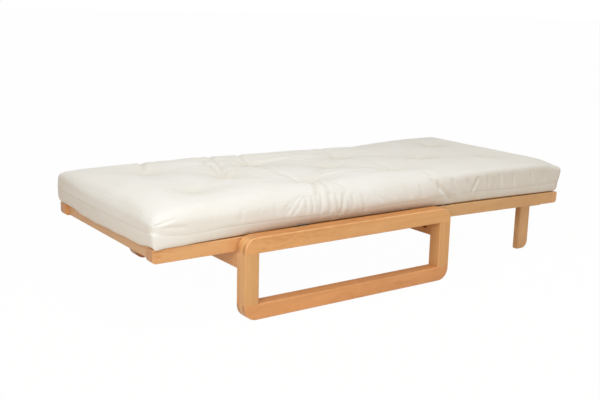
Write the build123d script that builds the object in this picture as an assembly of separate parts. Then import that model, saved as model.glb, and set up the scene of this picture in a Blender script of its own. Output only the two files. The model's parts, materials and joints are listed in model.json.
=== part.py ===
"""A single folding bed with a loose futon: two timber loops carry a slatted deck in three sections.

The back section and the foot extension are hinged to the fixed seat section at deck level. A pair
of swing legs holds up the extension. Millimetres, +Z up, the floor at Z = 0. +X points the way a
sitter faces, +Y is the sitter's left, and the origin lies on the floor under the middle of the bed.
"""
from build123d import *
from math import cos, radians, sin, sqrt, tan
import os

os.makedirs("parts", exist_ok=True)

# Deck as a whole
bed_length = 1950.0
deck_width = 800.0
deck_height = 281.0
back_length = 590.0
extension_length = 680.0
section_gap = 1.0
extension_sag_degrees = 1.1

# Side rails
rail_thickness = 44.0
rail_height = 48.0
rail_edge_ease = 2.5
rail_nose_radius = 15.0

# Cross bars, slats and the ledges under them
bar_thickness = 22.0
bar_height = 45.0
end_bar_inset = 15.0
bar_edge_ease = 2.0
slat_width = 70.0
slat_thickness = 18.0
slat_edge_ease = 2.0
slat_end_gap = 1.0
slat_least_gap = 44.0
ledge_width = 20.0
ledge_height = 20.0
ledge_notch_clearance = 2.0

# Timber loops that stand on the floor
loop_length = 940.0
loop_rise = 9.0
loop_member = 56.0
loop_corner_radius = 48.0
loop_edge_ease = 3.0
loop_gap = 6.0
loop_front_setback = 22.5
tongue_share = 1.0 / 3.0

# Stretchers between the loops, with a fixing pocket near each end
stretcher_thickness = 32.0
stretcher_height = 63.0
stretcher_edge_ease = 2.5
pocket_length = 26.0
pocket_height = 17.0
pocket_clearance = 1.0
pocket_inset = 32.0

# Fixings
stud_radius = 4.0
stud_grip = 36.0
stud_proud = 4.0
nut_across_flats = 13.0
nut_thickness = 7.0
washer_depth = 16.0
bolt_radius = 4.0
bolt_across_flats = 13.0
bolt_head_height = 4.0
bolt_grip = 32.0
bolt_end_distance = 90.0
spacer_width = 24.0
hole_clearance = 0.4

# Deck hinges, let into the tops of the rails
knuckle_radius = 4.5
hinge_pin_radius = 2.0
leaf_thickness = 2.5
leaf_length = 36.0
leaf_width = 27.0
leaf_edge_inset = 10.0
running_clearance = 0.05
hinge_clearance = 0.4

# Swing legs under the end of the extension
leg_width = 62.0
leg_thickness = 30.0
leg_inset = 96.0
leg_end_distance = 84.5
leg_foot_radius = 32.0
leg_edge_ease = 2.5
leg_bar_size = 40.0
leg_slat_clearance = 2.0
leg_pin_radius = 6.0
leg_pin_depth = 24.0
leg_pin_end_wall = 6.0
hanger_length = 72.0
hanger_drop = 16.0
side_clearance = 0.5

# Gaps between pieces that are glued, rest on each other, or are soft
glue_line = 0.1
rest_gap = 0.3
soft_gap = 0.3

# Futon, one mattress that lies on all three sections
futon_thickness = 140.0
futon_side_overhang = 2.0
futon_end_inset = 3.0
futon_seam_share = 0.34
futon_shoulder_share = 0.86
futon_bottom_draw = 24.0
futon_top_draw = 32.0
futon_end_draw = 24.0
futon_crown_run = 120.0
futon_corner_radius = 18.0
futon_side_draw = 5.0
futon_end_bow = 5.0
fold_crease_radius = 70.0
fold_crease_depth = 7.0
tuft_radius = 105.0
tuft_depth = 28.0
edge_fullness_share = 0.16
crown_fullness_share = 0.035

# A tuft's slope from its rim to its middle: shares of its radius and of its depth
tuft_slope_shares = [(1.0, 0.0), (0.42, 0.38), (0.0, 1.0)]

# Places of the tufts: shares of the half length and of the half width of the futon
tuft_shares = [
    (-0.74, 0.47), (-0.74, -0.47),
    (-0.48, 0.0),
    (-0.25, 0.47), (-0.25, -0.47),
    (0.015, 0.0),
    (0.22, 0.47), (0.22, -0.47),
    (0.50, 0.0),
    (0.79, 0.47), (0.79, -0.47),
]

# How far the sections fold
back_fold_degrees = 70.0
extension_fold_degrees = 90.0
fold_play_degrees = 1.5
fold_root_gap = 2.0

# Overrun of every cut past the face it opens
overrun = 5.0

# Places worked out from the sizes above
half_bed = bed_length / 2
half_deck = deck_width / 2
rail_inner_y = half_deck - rail_thickness
rail_bottom_z = deck_height - rail_height
slat_bottom_z = deck_height - slat_thickness
back_hinge_x = back_length - half_bed
front_hinge_x = half_bed - extension_length
hinge_z = deck_height - leaf_thickness + knuckle_radius
loop_height = deck_height + loop_rise
loop_inner_y = half_deck + loop_gap
loop_outer_y = loop_inner_y + loop_member
loop_middle_y = (loop_inner_y + loop_outer_y) / 2
loop_front_x = front_hinge_x - loop_front_setback
loop_back_x = loop_front_x - loop_length
tongue_thickness = loop_member * tongue_share
back_post_x = loop_back_x + loop_member / 2
front_post_x = loop_front_x - loop_member / 2
stretcher_top_z = rail_bottom_z - rest_gap
stretcher_middle_z = stretcher_top_z - stretcher_height / 2
rail_middle_z = (deck_height + rail_bottom_z) / 2
nut_radius = nut_across_flats / sqrt(3)
bolt_head_radius = bolt_across_flats / sqrt(3)
rail_bolt_z = slat_bottom_z - slat_end_gap - bolt_head_radius
pocket_depth = stretcher_thickness / 2 + nut_radius + pocket_clearance
leaf_outer_y = half_deck - leaf_edge_inset
leaf_inner_y = leaf_outer_y - leaf_width
futon_bottom_z = deck_height + soft_gap
futon_half_length = half_bed - futon_end_inset
futon_half_width = half_deck + futon_side_overhang
seat_middle_x = (back_hinge_x + front_hinge_x) / 2

# The sections along X: from the outer or hinge end to the other, as (low x, high x)
back_span = (-half_bed, back_hinge_x - section_gap / 2)
seat_span = (back_hinge_x + section_gap / 2, front_hinge_x - section_gap / 2)
extension_span = (front_hinge_x + section_gap / 2, half_bed)

# The leg's pivot, before and after the extension settles by its sag
leg_pivot_x = half_bed - leg_end_distance
leg_pivot_z = slat_bottom_z - leg_slat_clearance - leg_width / 2
leg_outer_y = half_deck - leg_inset
leg_inner_y = leg_outer_y - leg_thickness


def settled_point(x, z):
    """A point of the level extension, after the sag turns it about the front hinge."""
    angle = radians(extension_sag_degrees)
    across, up = x - front_hinge_x, z - hinge_z
    return (
        front_hinge_x + across * cos(angle) + up * sin(angle),
        hinge_z - across * sin(angle) + up * cos(angle),
    )


def settled(shape):
    """A solid of the level extension, after the sag turns it about the front hinge."""
    turn = Rot(0, extension_sag_degrees, 0)
    return Pos(front_hinge_x, 0, hinge_z) * turn * Pos(-front_hinge_x, 0, -hinge_z) * shape


def other_side(shape):
    """The sitter's left piece, from the right one."""
    return mirror(shape, about=Plane.XZ)


def both_sides(shape):
    """The right piece and the left piece."""
    return [shape, other_side(shape)]


def block(x, y, z):
    """A plain block between its low and high places along each axis."""
    size = [high - low for low, high in (x, y, z)]
    return Pos(x[0], y[0], z[0]) * Box(*size, align=(Align.MIN, Align.MIN, Align.MIN))


def board(x, y, z, ease):
    """A block of timber with its long edges eased by a small bevel."""
    plank = block(x, y, z)
    size = [high - low for low, high in (x, y, z)]
    grain = (Axis.X, Axis.Y, Axis.Z)[size.index(max(size))]
    return chamfer(plank.edges().filter_by(grain), ease)


def rod_y(x, z, y_low, y_high, radius):
    """A round bar along Y between two places."""
    bar = Cylinder(radius, y_high - y_low, align=(Align.CENTER, Align.CENTER, Align.MIN))
    return Pos(x, y_low, z) * Rot(-90, 0, 0) * bar


def hexagon(across_flats, thickness):
    """A plain hexagon that rises along +Y from the origin, flats up and down."""
    outline = RegularPolygon(across_flats / 2, 6, major_radius=False)
    return extrude(Plane.XZ * outline, -thickness)


def save(name, *solids):
    """Write one node, made of one solid or of several that belong together."""
    pieces = [piece for solid in solids for piece in solid.solids()]
    shape = pieces[0] if len(pieces) == 1 else Compound(children=pieces)
    shape.label = name
    export_step(shape, os.path.join("parts", name + ".step"))


def loop_ring():
    """The right loop as one rounded frame, before it is parted into its four members."""
    outer = RectangleRounded(loop_length, loop_height, loop_corner_radius)
    window = Rectangle(loop_length - 2 * loop_member, loop_height - 2 * loop_member)
    ring = extrude(Plane.XZ * (outer - window), loop_member / 2, both=True)
    ring = chamfer(ring.faces().filter_by(Axis.Y).edges(), loop_edge_ease)
    return Pos((loop_back_x + loop_front_x) / 2, -loop_middle_y, loop_height / 2) * ring


def loop_bar(ring, low_z, high_z):
    """A bar that runs the loop's whole length, slotted at its ends for the tongues of the posts."""
    across = (-loop_outer_y - overrun, -loop_inner_y + overrun)
    bar = ring & block((loop_back_x - overrun, loop_front_x + overrun), across, (low_z, high_z))
    half_slot = tongue_thickness / 2 + glue_line
    slot_y = (-loop_middle_y - half_slot, -loop_middle_y + half_slot)
    slot_z = (low_z - overrun, high_z + overrun)
    slot_depth = loop_member + glue_line
    bar -= block((loop_back_x - overrun, loop_back_x + slot_depth), slot_y, slot_z)
    bar -= block((loop_front_x - slot_depth, loop_front_x + overrun), slot_y, slot_z)
    return bar


def loop_post(ring, low_x, high_x):
    """An upright between the bars, with a tongue through each of them."""
    across = (-loop_outer_y - overrun, -loop_inner_y + overrun)
    shoulder_z = (loop_member + glue_line, loop_height - loop_member - glue_line)
    tongue_y = (-loop_middle_y - tongue_thickness / 2, -loop_middle_y + tongue_thickness / 2)
    trunk = block((low_x, high_x), across, shoulder_z)
    tongue = block((low_x, high_x), tongue_y, (-overrun, loop_height + overrun))
    return ring & (trunk + tongue)


def stud_hole(middle_x):
    """The bore of one stretcher stud, through the stretcher's end and into the post."""
    start = -loop_inner_y - stud_grip - hole_clearance
    end = -loop_inner_y + pocket_inset + pocket_height / 2
    return rod_y(middle_x, stretcher_middle_z, start, end, stud_radius + hole_clearance)


def rail_bolt_places():
    """Where the seat rails are bolted to the loops' top bars."""
    return (back_hinge_x + bolt_end_distance, loop_front_x - bolt_end_distance)


def rail_bolt_hole(x):
    """The bore of one rail bolt, through the rail and into the loop's top bar."""
    start = -loop_inner_y - bolt_grip - hole_clearance
    end = -rail_inner_y + overrun
    return rod_y(x, rail_bolt_z, start, end, bolt_radius + hole_clearance)


def make_loops():
    """Two loops of four members each, joined by open tongues at the corners."""
    ring = loop_ring()
    top = loop_bar(ring, loop_height - loop_member, loop_height)
    for x in rail_bolt_places():
        top -= rail_bolt_hole(x)
    bottom = loop_bar(ring, 0, loop_member)
    back = loop_post(ring, loop_back_x, loop_back_x + loop_member) - stud_hole(back_post_x)
    front = loop_post(ring, loop_front_x - loop_member, loop_front_x) - stud_hole(front_post_x)
    members = {"top_bar": top, "bottom_bar": bottom, "back_post": back, "front_post": front}
    for name, member in members.items():
        save("right_loop_" + name, member)
        save("left_loop_" + name, other_side(member))


def pocket(middle_x, inward, clearance, depth):
    """A round-ended pocket in a stretcher's inner face, or with a clearance what fills it."""
    outline = Plane.YZ * SlotOverall(pocket_length - 2 * clearance, pocket_height - 2 * clearance)
    middle_y = -loop_inner_y + pocket_inset + pocket_length / 2
    face_x = middle_x + inward * stretcher_thickness / 2
    floor_x = face_x - inward * pocket_depth
    cutter = extrude(outline, depth)
    low_x = floor_x if inward > 0 else floor_x - depth
    return Pos(low_x + inward * clearance, middle_y, stretcher_middle_z) * cutter


def stretcher(middle_x, inward):
    """A board between the loops, with a pocket for a nut near each end of its inner face."""
    half = stretcher_thickness / 2
    reach = loop_inner_y - glue_line
    z = (stretcher_top_z - stretcher_height, stretcher_top_z)
    plank = board((middle_x - half, middle_x + half), (-reach, reach), z, stretcher_edge_ease)
    for cut in (pocket(middle_x, inward, 0, pocket_depth + overrun), stud_hole(middle_x)):
        plank -= cut
        plank -= other_side(cut)
    return plank


def make_stretchers():
    """The two stretchers, with the studs, half-round washers and nuts that hold them to the posts."""
    studs, nuts = [], []
    washer_end = -loop_inner_y + pocket_inset + pocket_height / 2
    stud_end = washer_end + nut_thickness + stud_proud
    bore_radius = stud_radius + running_clearance
    for name, x, inward in (("back", back_post_x, 1), ("front", front_post_x, -1)):
        save(name + "_stretcher", stretcher(x, inward))
        stud = rod_y(x, stretcher_middle_z, -loop_inner_y - stud_grip, stud_end, stud_radius)
        bore = rod_y(x, stretcher_middle_z, -loop_inner_y, stud_end, bore_radius)
        room = block((x - stretcher_thickness, x + stretcher_thickness), (-loop_inner_y, washer_end),
                     (stretcher_top_z - stretcher_height, stretcher_top_z))
        washer = (pocket(x, inward, glue_line, washer_depth) & room) - bore
        nut_start = washer_end + glue_line
        nut = Pos(x, nut_start, stretcher_middle_z) * hexagon(nut_across_flats, nut_thickness)
        studs += both_sides(stud)
        nuts += both_sides(washer) + both_sides(nut - bore)
    save("stretcher_studs", *studs)
    save("stretcher_nuts", *nuts)


def leaf_recess(hinge_x, direction):
    """The shallow bed of one hinge leaf in a rail's top, with room for the knuckles."""
    length = leaf_length + hinge_clearance
    ends = sorted((hinge_x, hinge_x + direction * length))
    across = (-leaf_outer_y - hinge_clearance, -leaf_inner_y + hinge_clearance)
    bed = block(ends, across, (deck_height - leaf_thickness - glue_line, deck_height + overrun))
    return bed + rod_y(hinge_x, hinge_z, *across, knuckle_radius + hinge_clearance)


def side_rail(span, hinges, nose):
    """The right rail of a section. Hinges are (x, direction) pairs, and nose says which end is free."""
    rail = board(span, (-half_deck, -rail_inner_y), (rail_bottom_z, deck_height), rail_edge_ease)
    if nose:
        end_x = span[0] if nose < 0 else span[1]
        ends = rail.edges().filter_by(Axis.Y)
        at_nose = [edge for edge in ends if abs(edge.center().X - end_x) < rail_edge_ease]
        low = [edge for edge in at_nose if edge.center().Z < rail_middle_z]
        rail = fillet(low, rail_nose_radius)
    for hinge_x, direction in hinges:
        rail -= leaf_recess(hinge_x, direction)
    return rail


def cross_bar(low_x):
    """A bar between the two rails of a section, flush with their tops."""
    reach = rail_inner_y - glue_line
    z = (deck_height - bar_height, deck_height)
    return board((low_x, low_x + bar_thickness), (-reach, reach), z, bar_edge_ease)


def ledge(low_x, high_x):
    """The strip on the right rail's inner face that the slats lie on."""
    y = (-rail_inner_y + glue_line, -rail_inner_y + glue_line + ledge_width)
    z = (slat_bottom_z - glue_line - ledge_height, slat_bottom_z - glue_line)
    return block((low_x + glue_line, high_x - glue_line), y, z)


def slats(low_x, high_x):
    """As many slats as fit between two cross bars, evenly spaced and flush with the rails."""
    clear = high_x - low_x
    count = int((clear - slat_least_gap) // (slat_width + slat_least_gap))
    gap = (clear - count * slat_width) / (count + 1)
    reach = rail_inner_y - slat_end_gap
    rows = []
    for index in range(count):
        start = low_x + gap + index * (slat_width + gap)
        span = (start, start + slat_width)
        rows.append(board(span, (-reach, reach), (slat_bottom_z, deck_height), slat_edge_ease))
    return rows


def make_seat():
    """The fixed middle section, bolted to the loops."""
    rail = side_rail(seat_span, [(back_hinge_x, 1), (front_hinge_x, -1)], 0)
    bolts, spacers = [], []
    for x in rail_bolt_places():
        rail -= rail_bolt_hole(x)
        head_start = -rail_inner_y + glue_line
        head_end = head_start + bolt_head_height
        shank = rod_y(x, rail_bolt_z, -loop_inner_y - bolt_grip, head_end, bolt_radius)
        head = Pos(x, head_start, rail_bolt_z) * hexagon(bolt_across_flats, bolt_head_height)
        bolts += both_sides(shank + head)
        half = spacer_width / 2
        spacer = block((x - half, x + half), (-loop_inner_y + glue_line, -half_deck - glue_line),
                       (rail_bolt_z - half, rail_bolt_z + half))
        spacers += both_sides(spacer - rail_bolt_hole(x))
    save("right_seat_rail", rail)
    save("left_seat_rail", other_side(rail))
    save("seat_rail_bolts", *bolts)
    save("seat_rail_spacers", *spacers)
    inner = (seat_span[0] + bar_thickness, seat_span[1] - bar_thickness)
    save("seat_back_bar", cross_bar(seat_span[0]))
    save("seat_front_bar", cross_bar(inner[1]))
    strip = ledge(*inner)
    for x in rail_bolt_places():
        room = bolt_head_radius + ledge_notch_clearance
        notch_y = (-rail_inner_y, -rail_inner_y + 2 * glue_line + bolt_head_height)
        strip -= block((x - room, x + room), notch_y, (rail_bottom_z, slat_bottom_z))
    save("seat_slat_ledges", *both_sides(strip))
    for number, slat in enumerate(slats(*inner), 1):
        save(f"seat_slat_{number}", slat)


def make_back():
    """The back section, which lifts about the back hinges and lies down on the back stretcher."""
    rail = side_rail(back_span, [(back_hinge_x, -1)], -1)
    save("right_back_rail", rail)
    save("left_back_rail", other_side(rail))
    end_bar_x = back_span[0] + end_bar_inset
    hinge_bar_x = back_span[1] - bar_thickness
    save("back_end_bar", cross_bar(end_bar_x))
    save("back_hinge_bar", cross_bar(hinge_bar_x))
    inner = (end_bar_x + bar_thickness, hinge_bar_x)
    save("back_slat_ledges", *both_sides(ledge(*inner)))
    for number, slat in enumerate(slats(*inner), 1):
        save(f"back_slat_{number}", slat)


def hanger():
    """The block on the right rail's inner face that carries the leg's pivot pin."""
    half = hanger_length / 2
    y = (-rail_inner_y + glue_line, -leg_outer_y - side_clearance)
    z = (rail_bottom_z - hanger_drop, slat_bottom_z - glue_line)
    body = board((leg_pivot_x - half, leg_pivot_x + half), y, z, bar_edge_ease)
    start = -rail_inner_y + glue_line + leg_pin_end_wall
    return body - rod_y(leg_pivot_x, leg_pivot_z, start, -leg_outer_y, leg_pin_radius + glue_line)


def make_extension():
    """The foot section, which lifts about the front hinges and stands on the swing legs."""
    rail = side_rail(extension_span, [(front_hinge_x, 1)], 1)
    hinge_bar_x = extension_span[0]
    end_bar_x = extension_span[1] - end_bar_inset - bar_thickness
    inner = (hinge_bar_x + bar_thickness, end_bar_x)
    strip_end = leg_pivot_x - hanger_length / 2
    pin_start = -rail_inner_y + 2 * glue_line + leg_pin_end_wall
    pin = rod_y(leg_pivot_x, leg_pivot_z, pin_start, -leg_outer_y + leg_pin_depth, leg_pin_radius)
    save("right_extension_rail", settled(rail))
    save("left_extension_rail", settled(other_side(rail)))
    save("extension_hinge_bar", settled(cross_bar(hinge_bar_x)))
    save("extension_end_bar", settled(cross_bar(end_bar_x)))
    save("extension_slat_ledges", *[settled(piece) for piece in both_sides(ledge(inner[0], strip_end))])
    save("leg_hanger_blocks", *[settled(piece) for piece in both_sides(hanger())])
    save("leg_pivot_pins", *[settled(piece) for piece in both_sides(pin)])
    for number, slat in enumerate(slats(*inner), 1):
        save(f"extension_slat_{number}", settled(slat))


def make_legs():
    """Two upright legs and the bar between them, which swing together towards the hinges."""
    pivot_x, pivot_z = settled_point(leg_pivot_x, leg_pivot_z)
    half = leg_width / 2
    body = block((pivot_x - half, pivot_x + half), (-leg_outer_y, -leg_inner_y), (0, pivot_z))
    body += rod_y(pivot_x, pivot_z, -leg_outer_y, -leg_inner_y, half)
    foot = [edge for edge in body.edges().filter_by(Axis.Y)
            if edge.center().Z < glue_line and edge.center().X > pivot_x]
    body = fillet(foot, leg_foot_radius)
    body = chamfer(body.faces().filter_by(Axis.Y).edges(), leg_edge_ease)
    bore = leg_pin_radius + running_clearance
    body -= rod_y(pivot_x, pivot_z, -leg_outer_y - overrun, -leg_outer_y + leg_pin_depth + rest_gap, bore)
    save("right_leg", body)
    save("left_leg", other_side(body))
    reach = leg_inner_y - glue_line
    side = leg_bar_size / 2
    save("leg_cross_bar", board((pivot_x - side, pivot_x + side), (-reach, reach),
                                (pivot_z - side, pivot_z + side), bar_edge_ease))


def hinge_leaf(hinge_x, direction, outer_knuckles):
    """One leaf on the right rail, with either the two outer knuckles or the middle one."""
    third = leaf_width / 3
    near = knuckle_radius + hinge_clearance
    leaf = block(sorted((hinge_x + direction * near, hinge_x + direction * leaf_length)),
                 (-leaf_outer_y, -leaf_inner_y), (deck_height - leaf_thickness, deck_height))
    starts = (0, 2 * third) if outer_knuckles else (third,)
    bore_y = (-leaf_outer_y - overrun, -leaf_inner_y + overrun)
    for start in starts:
        low = -leaf_outer_y + start + running_clearance
        high = low + third - 2 * running_clearance
        neck = block(sorted((hinge_x, hinge_x + direction * (near + leaf_thickness))),
                     (low, high), (deck_height - leaf_thickness, deck_height))
        leaf += neck + rod_y(hinge_x, hinge_z, low, high, knuckle_radius)
    return leaf - rod_y(hinge_x, hinge_z, *bore_y, hinge_pin_radius + running_clearance)


def make_hinges():
    """A pair of butt hinges at each fold: two leaves and a pin on each rail."""
    for name, hinge_x, moving in (("back", back_hinge_x, -1), ("extension", front_hinge_x, 1)):
        fixed_leaf = hinge_leaf(hinge_x, -moving, True)
        moving_leaf = hinge_leaf(hinge_x, moving, False)
        if name == "extension":
            moving_leaf = settled(moving_leaf)
        pin = rod_y(hinge_x, hinge_z, -leaf_outer_y, -leaf_inner_y, hinge_pin_radius)
        save(name + "_hinge_fixed_leaves", *both_sides(fixed_leaf))
        save(name + "_hinge_moving_leaves", *both_sides(moving_leaf))
        save(name + "_hinge_pins", *both_sides(pin))


def half_outline(half_span, bottom_draw, top_draw, crown_run):
    """One end of the futon's side view: flat below, full at the seam, rounded over to the crown."""
    seam_z = futon_thickness * futon_seam_share
    shoulder_z = futon_thickness * futon_shoulder_share
    bottom = (half_span - bottom_draw, 0)
    seam = (half_span, seam_z)
    shoulder = (half_span - top_draw, shoulder_z)
    crown = (half_span - top_draw - crown_run, futon_thickness)
    return bottom, seam, shoulder, crown


def bulge(start, end, fullness_share):
    """An arc from start to end that swells outwards by a share of its chord."""
    middle = Vector((start[0] + end[0]) / 2, (start[1] + end[1]) / 2)
    along = Vector(end[0] - start[0], end[1] - start[1])
    outward = Vector(along.Y, -along.X) * fullness_share
    peak = middle + outward
    return ThreePointArc(start, (peak.X, peak.Y), end)


def futon_profile(half_span, bottom_draw, top_draw, crown_run):
    """The futon's outline seen along one axis, with X across and Y up in the sketch."""
    bottom, seam, shoulder, crown = half_outline(half_span, bottom_draw, top_draw, crown_run)
    right = [bulge(bottom, seam, edge_fullness_share), bulge(seam, shoulder, edge_fullness_share),
             bulge(shoulder, crown, crown_fullness_share)]
    left = [mirror(curve, about=Plane.YZ) for curve in right]
    base = Line((-bottom[0], 0), bottom)
    top = Line(crown, (-crown[0], crown[1]))
    return make_face([base, top] + right + left)


def futon_plan():
    """The futon seen from above: round corners, and sides that draw in between them."""
    x, y, r = futon_half_length, futon_half_width, futon_corner_radius
    offset = r * (1 - 1 / sqrt(2))
    side = ThreePointArc((-x + r, y), (0, y - futon_side_draw), (x - r, y))
    end = ThreePointArc((x, y - r), (x - futon_end_bow, 0), (x, -y + r))
    corner = ThreePointArc((x - r, y), (x - offset, y - offset), (x, y - r))
    lower = mirror(side, about=Plane.XZ)
    curves = [side, lower, end, mirror(end, about=Plane.YZ)]
    for piece in (corner, mirror(corner, about=Plane.XZ)):
        curves += [piece, mirror(piece, about=Plane.YZ)]
    return make_face(curves)


def tuft_cutter(x, y):
    """A round dimple that steepens towards its middle, where a tie pulls the cover down."""
    slope = [(tuft_radius * out, -tuft_depth * down) for out, down in tuft_slope_shares]
    above = [(0, tuft_depth), (tuft_radius, tuft_depth)]
    outline = Polyline(*slope, *above, close=True)
    return Pos(x, y, futon_thickness) * revolve(Plane.XZ * make_face(outline), Axis.Z)


def whole_futon():
    """The mattress as one level solid, with its tufts and fold creases, on Z = 0."""
    length_view = futon_profile(futon_half_length, futon_end_draw, futon_end_draw, futon_crown_run)
    width_view = futon_profile(futon_half_width, futon_bottom_draw, futon_top_draw, futon_crown_run)
    along = extrude(Plane.XZ * length_view, futon_half_width + overrun, both=True)
    across = extrude(Plane.YZ * width_view, futon_half_length + overrun, both=True)
    plan = extrude(futon_plan(), futon_thickness + overrun)
    body = along & across & plan
    for x_share, y_share in tuft_shares:
        body -= tuft_cutter(x_share * futon_half_length, y_share * futon_half_width)
    for x in (back_hinge_x, front_hinge_x):
        crease_z = futon_thickness + fold_crease_radius - fold_crease_depth
        reach = futon_half_width + overrun
        body -= rod_y(x, crease_z, -reach, reach, fold_crease_radius)
    return body


def beyond_fold(hinge_x, direction, fold_degrees):
    """All the room on one side of a fold, behind the slanted face that meets its twin when folded."""
    lean = radians(fold_degrees / 2 + fold_play_degrees)
    start = hinge_x + direction * fold_root_gap
    low_z, high_z = hinge_z, futon_bottom_z + futon_thickness + overrun
    top = start + direction * (high_z - low_z) * tan(lean)
    far = hinge_x + direction * bed_length
    points = [(start, 0), (start, low_z), (top, high_z), (far, high_z), (far, 0)]
    face = make_face(Polyline(*points, close=True))
    return extrude(Plane.XZ * face, futon_half_width + overrun, both=True)


def on_side(hinge_x, direction):
    """All the room on one side of a hinge line."""
    ends = sorted((hinge_x, hinge_x + direction * bed_length))
    reach = futon_half_width + overrun
    return block(ends, (-reach, reach), (0, futon_bottom_z + futon_thickness + overrun))


def make_futon():
    """The futon as a length for each section, with a soft wedge of it at each fold."""
    body = Pos(0, 0, futon_bottom_z) * whole_futon()
    across = (-leaf_outer_y - hinge_clearance, -leaf_inner_y + hinge_clearance)
    for x in (back_hinge_x, front_hinge_x):
        body -= rod_y(x, hinge_z, *across, knuckle_radius + hinge_clearance)
        body -= other_side(rod_y(x, hinge_z, *across, knuckle_radius + hinge_clearance))
    behind_back = beyond_fold(back_hinge_x, -1, back_fold_degrees)
    before_back = beyond_fold(back_hinge_x, 1, back_fold_degrees)
    behind_front = beyond_fold(front_hinge_x, -1, extension_fold_degrees)
    before_front = beyond_fold(front_hinge_x, 1, extension_fold_degrees)
    save("futon_back", body & behind_back)
    save("futon_seat", body & before_back & behind_front)
    save("futon_extension", settled(body & before_front))
    near_back = body & on_side(back_hinge_x, 1) & on_side(front_hinge_x, -1)
    back_wedge = [(body & on_side(back_hinge_x, -1)) - behind_back]
    back_wedge += [near_back - before_back - on_side(seat_middle_x, 1)]
    save("futon_back_fold", *back_wedge)
    near_front = near_back - behind_front - on_side(seat_middle_x, -1)
    front_wedge = (body & on_side(front_hinge_x, 1)) - before_front
    save("futon_extension_fold", near_front, settled(front_wedge))


make_loops()
make_stretchers()
make_seat()
make_back()
make_extension()
make_legs()
make_hinges()
make_futon()
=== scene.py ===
"""Looks of a folding bed: oiled timber, plated hinges and a tufted calico futon."""
import json
from math import cos, hypot, pi, radians, sin, tan

import bmesh
import bpy
import numpy as np
from mathutils import Matrix, Vector, noise


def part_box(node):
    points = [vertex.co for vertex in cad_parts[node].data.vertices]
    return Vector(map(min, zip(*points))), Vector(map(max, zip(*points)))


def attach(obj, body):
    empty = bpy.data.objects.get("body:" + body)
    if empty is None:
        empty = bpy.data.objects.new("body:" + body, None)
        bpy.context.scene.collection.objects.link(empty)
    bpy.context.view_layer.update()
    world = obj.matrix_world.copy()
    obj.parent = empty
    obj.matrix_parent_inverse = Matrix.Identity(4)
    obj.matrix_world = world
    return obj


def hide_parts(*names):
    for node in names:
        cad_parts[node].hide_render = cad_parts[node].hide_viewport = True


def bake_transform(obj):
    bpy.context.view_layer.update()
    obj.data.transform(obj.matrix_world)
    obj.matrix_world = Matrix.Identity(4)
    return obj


bl_info = {
    "name": "Folding Bed with Loop Legs",
    "version": (1, 0, 0),
    "blender": (4, 5, 0),
    "location": "View3D > Sidebar > Folding Bed",
    "description": "Finishes the timber, steel and futon of a single folding bed",
    "category": "Object",
}

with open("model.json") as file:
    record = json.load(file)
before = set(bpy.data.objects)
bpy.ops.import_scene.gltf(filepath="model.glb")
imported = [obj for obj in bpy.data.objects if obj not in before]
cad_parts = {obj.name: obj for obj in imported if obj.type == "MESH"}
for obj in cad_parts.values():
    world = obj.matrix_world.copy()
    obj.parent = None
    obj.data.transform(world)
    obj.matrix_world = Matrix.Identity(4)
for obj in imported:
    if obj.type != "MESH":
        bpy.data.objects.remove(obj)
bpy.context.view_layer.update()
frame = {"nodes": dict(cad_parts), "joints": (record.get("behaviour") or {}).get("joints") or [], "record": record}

# Places taken from the frame
SEAT_RAIL_LOW, SEAT_RAIL_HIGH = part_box("right_seat_rail")
DECK_TOP = SEAT_RAIL_HIGH.z
HALF_DECK = -SEAT_RAIL_LOW.y
HALF_BED = -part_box("right_back_rail")[0].x
END_BAR_FACE_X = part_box("back_end_bar")[0].x
HINGES = {joint["name"]: Vector(joint["pos_m"]) for joint in frame["joints"]}
BACK_HINGE = HINGES["back_lift"]
FRONT_HINGE = HINGES["extension_lift"]
SLOTS = {entry["node"]: entry["material_slot"] for entry in frame["record"]["subparts"]}

# The extension hangs a little, past the front hinge
SAG_SLOPE = tan(radians(1.1))


def deck_height(x):
    """Height of the deck's top along the bed: level, then falling along the extension."""
    return DECK_TOP - np.maximum(0.0, x - FRONT_HINGE.x) * SAG_SLOPE


class TimberLook(bpy.types.PropertyGroup):
    """Colours and grain of the oiled timber."""
    light: bpy.props.FloatVectorProperty(
        name="Light Wood", description="Colour between the grain lines", subtype="COLOR", size=3,
        min=0, max=1, default=(0.770, 0.392, 0.165))
    dark: bpy.props.FloatVectorProperty(
        name="Dark Wood", description="Colour of the grain lines", subtype="COLOR", size=3,
        min=0, max=1, default=(0.640, 0.285, 0.098))
    end_grain: bpy.props.FloatVectorProperty(
        name="End Grain", description="Colour of the sawn ends", subtype="COLOR", size=3,
        min=0, max=1, default=(0.500, 0.235, 0.095))
    grain_pitch: bpy.props.FloatProperty(
        name="Grain Pitch", description="Distance between the grain lines", unit="LENGTH",
        min=0.001, max=0.1, default=0.014)
    grain_run: bpy.props.FloatProperty(
        name="Grain Run", description="How much longer than wide the figure is", min=1, max=60, default=16)
    contrast: bpy.props.FloatProperty(
        name="Figure", description="How strongly the figure shows", min=0, max=1, default=0.74)
    roughness: bpy.props.FloatProperty(
        name="Roughness", description="How dull the oiled surface is", min=0, max=1, default=0.46)
    edge_ease: bpy.props.FloatProperty(
        name="Edge Ease", description="How far sandpaper has taken the edges off", unit="LENGTH",
        min=0, max=0.005, default=0.0009)


class SteelLook(bpy.types.PropertyGroup):
    """Colour of the plated hinges and fixings."""
    plate: bpy.props.FloatVectorProperty(
        name="Plate", description="Colour of the zinc plating", subtype="COLOR", size=3,
        min=0, max=1, default=(0.42, 0.42, 0.40))
    screw_radius: bpy.props.FloatProperty(
        name="Screw Head", description="Radius of the hinge screws' heads", unit="LENGTH",
        min=0.001, max=0.01, default=0.0032)


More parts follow.
